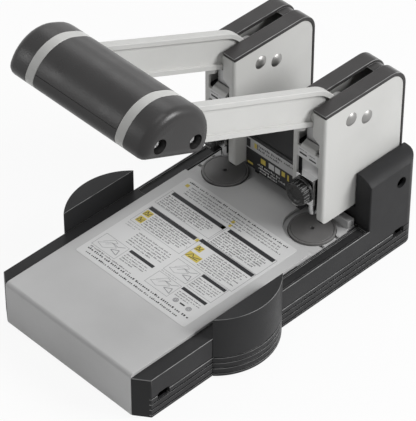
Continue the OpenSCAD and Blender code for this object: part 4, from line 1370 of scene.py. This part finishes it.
@dataclass(frozen=True)
class Lamp:
    """A soft square lamp that points at the punch."""

    name: str
    place: Point
    size: float
    power: float

    def build(self, target: Point) -> None:
        """Add the lamp, out of the camera's sight.

        Args:
            target: The point that it faces.
        """
        data = bpy.data.lights.new(self.name, "AREA")
        data.shape = "SQUARE"
        data.size = self.size
        data.energy = self.power
        lamp = bpy.data.objects.new(self.name, data)
        lamp.location = self.place
        towards = Vector(target) - Vector(self.place)
        lamp.rotation_euler = towards.to_track_quat("-Z", "Y").to_euler()
        lamp.visible_camera = False
        bpy.context.scene.collection.objects.link(lamp)


# The rays that show the background.
RAYS = ("Camera", "Glossy", "Transmission")


@dataclass
class Studio:
    """A pale floor and backdrop, soft light and the camera of the photograph.

    The floor lights the punch as a pale grey, and most of what shows of it is plain white.
    """

    target: Point = (0.0, 0.0, 0.09)
    floor_half: float = 4.0
    floor_z: float = -0.2 * MM
    floor_grey: float = 0.86
    floor_white: float = 0.92
    world_level: float = 0.2
    camera_place: Point = (0.926738, -0.903351, 1.206307)
    azimuth: float = 45.7504
    elevation: float = 41.5760
    lens: float = 231.7
    sensor: float = 36.0
    clip: Spot = (0.05, 20.0)
    lamps: tuple[Lamp, ...] = (
        Lamp("rear_lamp", (1.27, 0.82, 1.1), 0.8, 27.0),
        Lamp("top_lamp", (0.0, 0.1, 2.1), 0.8, 5.5),
        Lamp("front_lamp", (-1.0, -1.15, 0.95), 0.5, 2.5),
        Lamp("left_lamp", (-0.9, 0.95, 1.3), 0.8, 3.0),
    )

    @staticmethod
    def seen(graph: Graph) -> Wire:
        """Return 1 for the rays that show the background itself, and 0 for those that light."""
        first, *others = (graph.node("ShaderNodeLightPath", output=f"Is {ray} Ray") for ray in RAYS)
        return sum(others, first) > 0.5

    def floor(self) -> None:
        """Add the pale floor, which keeps the punch's soft shadow."""
        half, z = self.floor_half, self.floor_z
        points = [(-half, -half, z), (half, -half, z), (half, half, z), (-half, half, z)]
        floor = add_mesh("studio_floor", points, [(0, 1, 2, 3)])
        material = bpy.data.materials.new("studio_paper")
        material.use_nodes = True
        graph = Graph(material.node_tree)
        plain = graph.node("ShaderNodeBsdfDiffuse", {}, {"Color": (self.floor_grey,) * 3})
        white = graph.node("ShaderNodeEmission", {}, {"Color": (1.0, 1.0, 1.0), "Strength": 1.0})
        share = self.seen(graph) * self.floor_white
        mixed = graph.node("ShaderNodeMixShader", {}, {0: share, 1: plain, 2: white})
        graph.node("ShaderNodeOutputMaterial", {}, {"Surface": mixed})
        floor.data.materials.append(material)

    def world(self) -> None:
        """Make the white surroundings, which light the punch at a plain level."""
        world = bpy.data.worlds.new("studio_room")
        world.use_nodes = True
        graph = Graph(world.node_tree)
        level = self.seen(graph) * (1.0 - self.world_level) + self.world_level
        room = graph.node("ShaderNodeBackground", {}, {"Color": (1.0, 1.0, 1.0), "Strength": level})
        graph.node("ShaderNodeOutputWorld", {}, {"Surface": room})
        bpy.context.scene.world = world

    def camera(self) -> None:
        """Add the camera at the photograph's place, angle and lens."""
        data = bpy.data.cameras.new("photo_camera")
        data.lens = self.lens
        data.sensor_width = self.sensor
        data.clip_start, data.clip_end = self.clip
        camera = bpy.data.objects.new("photo_camera", data)
        turn, rise = math.radians(self.azimuth), math.radians(self.elevation)
        level = math.cos(rise)
        forward = Vector((-math.sin(turn) * level, math.cos(turn) * level, -math.sin(rise)))
        camera.location = self.camera_place
        camera.rotation_euler = forward.to_track_quat("-Z", "Y").to_euler()
        bpy.context.scene.collection.objects.link(camera)
        bpy.context.scene.camera = camera

    def build(self) -> None:
        """Build the studio."""
        self.floor()
        self.world()
        self.camera()
        for lamp in self.lamps:
            lamp.build(self.target)
        bpy.context.scene.view_settings.view_transform = "Standard"


def main() -> None:
    """Build every part of the dressed punch."""
    logging.basicConfig(level=logging.INFO, format="%(message)s")
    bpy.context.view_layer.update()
    for part in (Base(), RearCover(), Towers(), Lever(), PunchHeads(), PaperGuides(), Studio()):
        log.info("building %s", type(part).__name__)
        part.build()


if __name__ == "__main__":
    main()
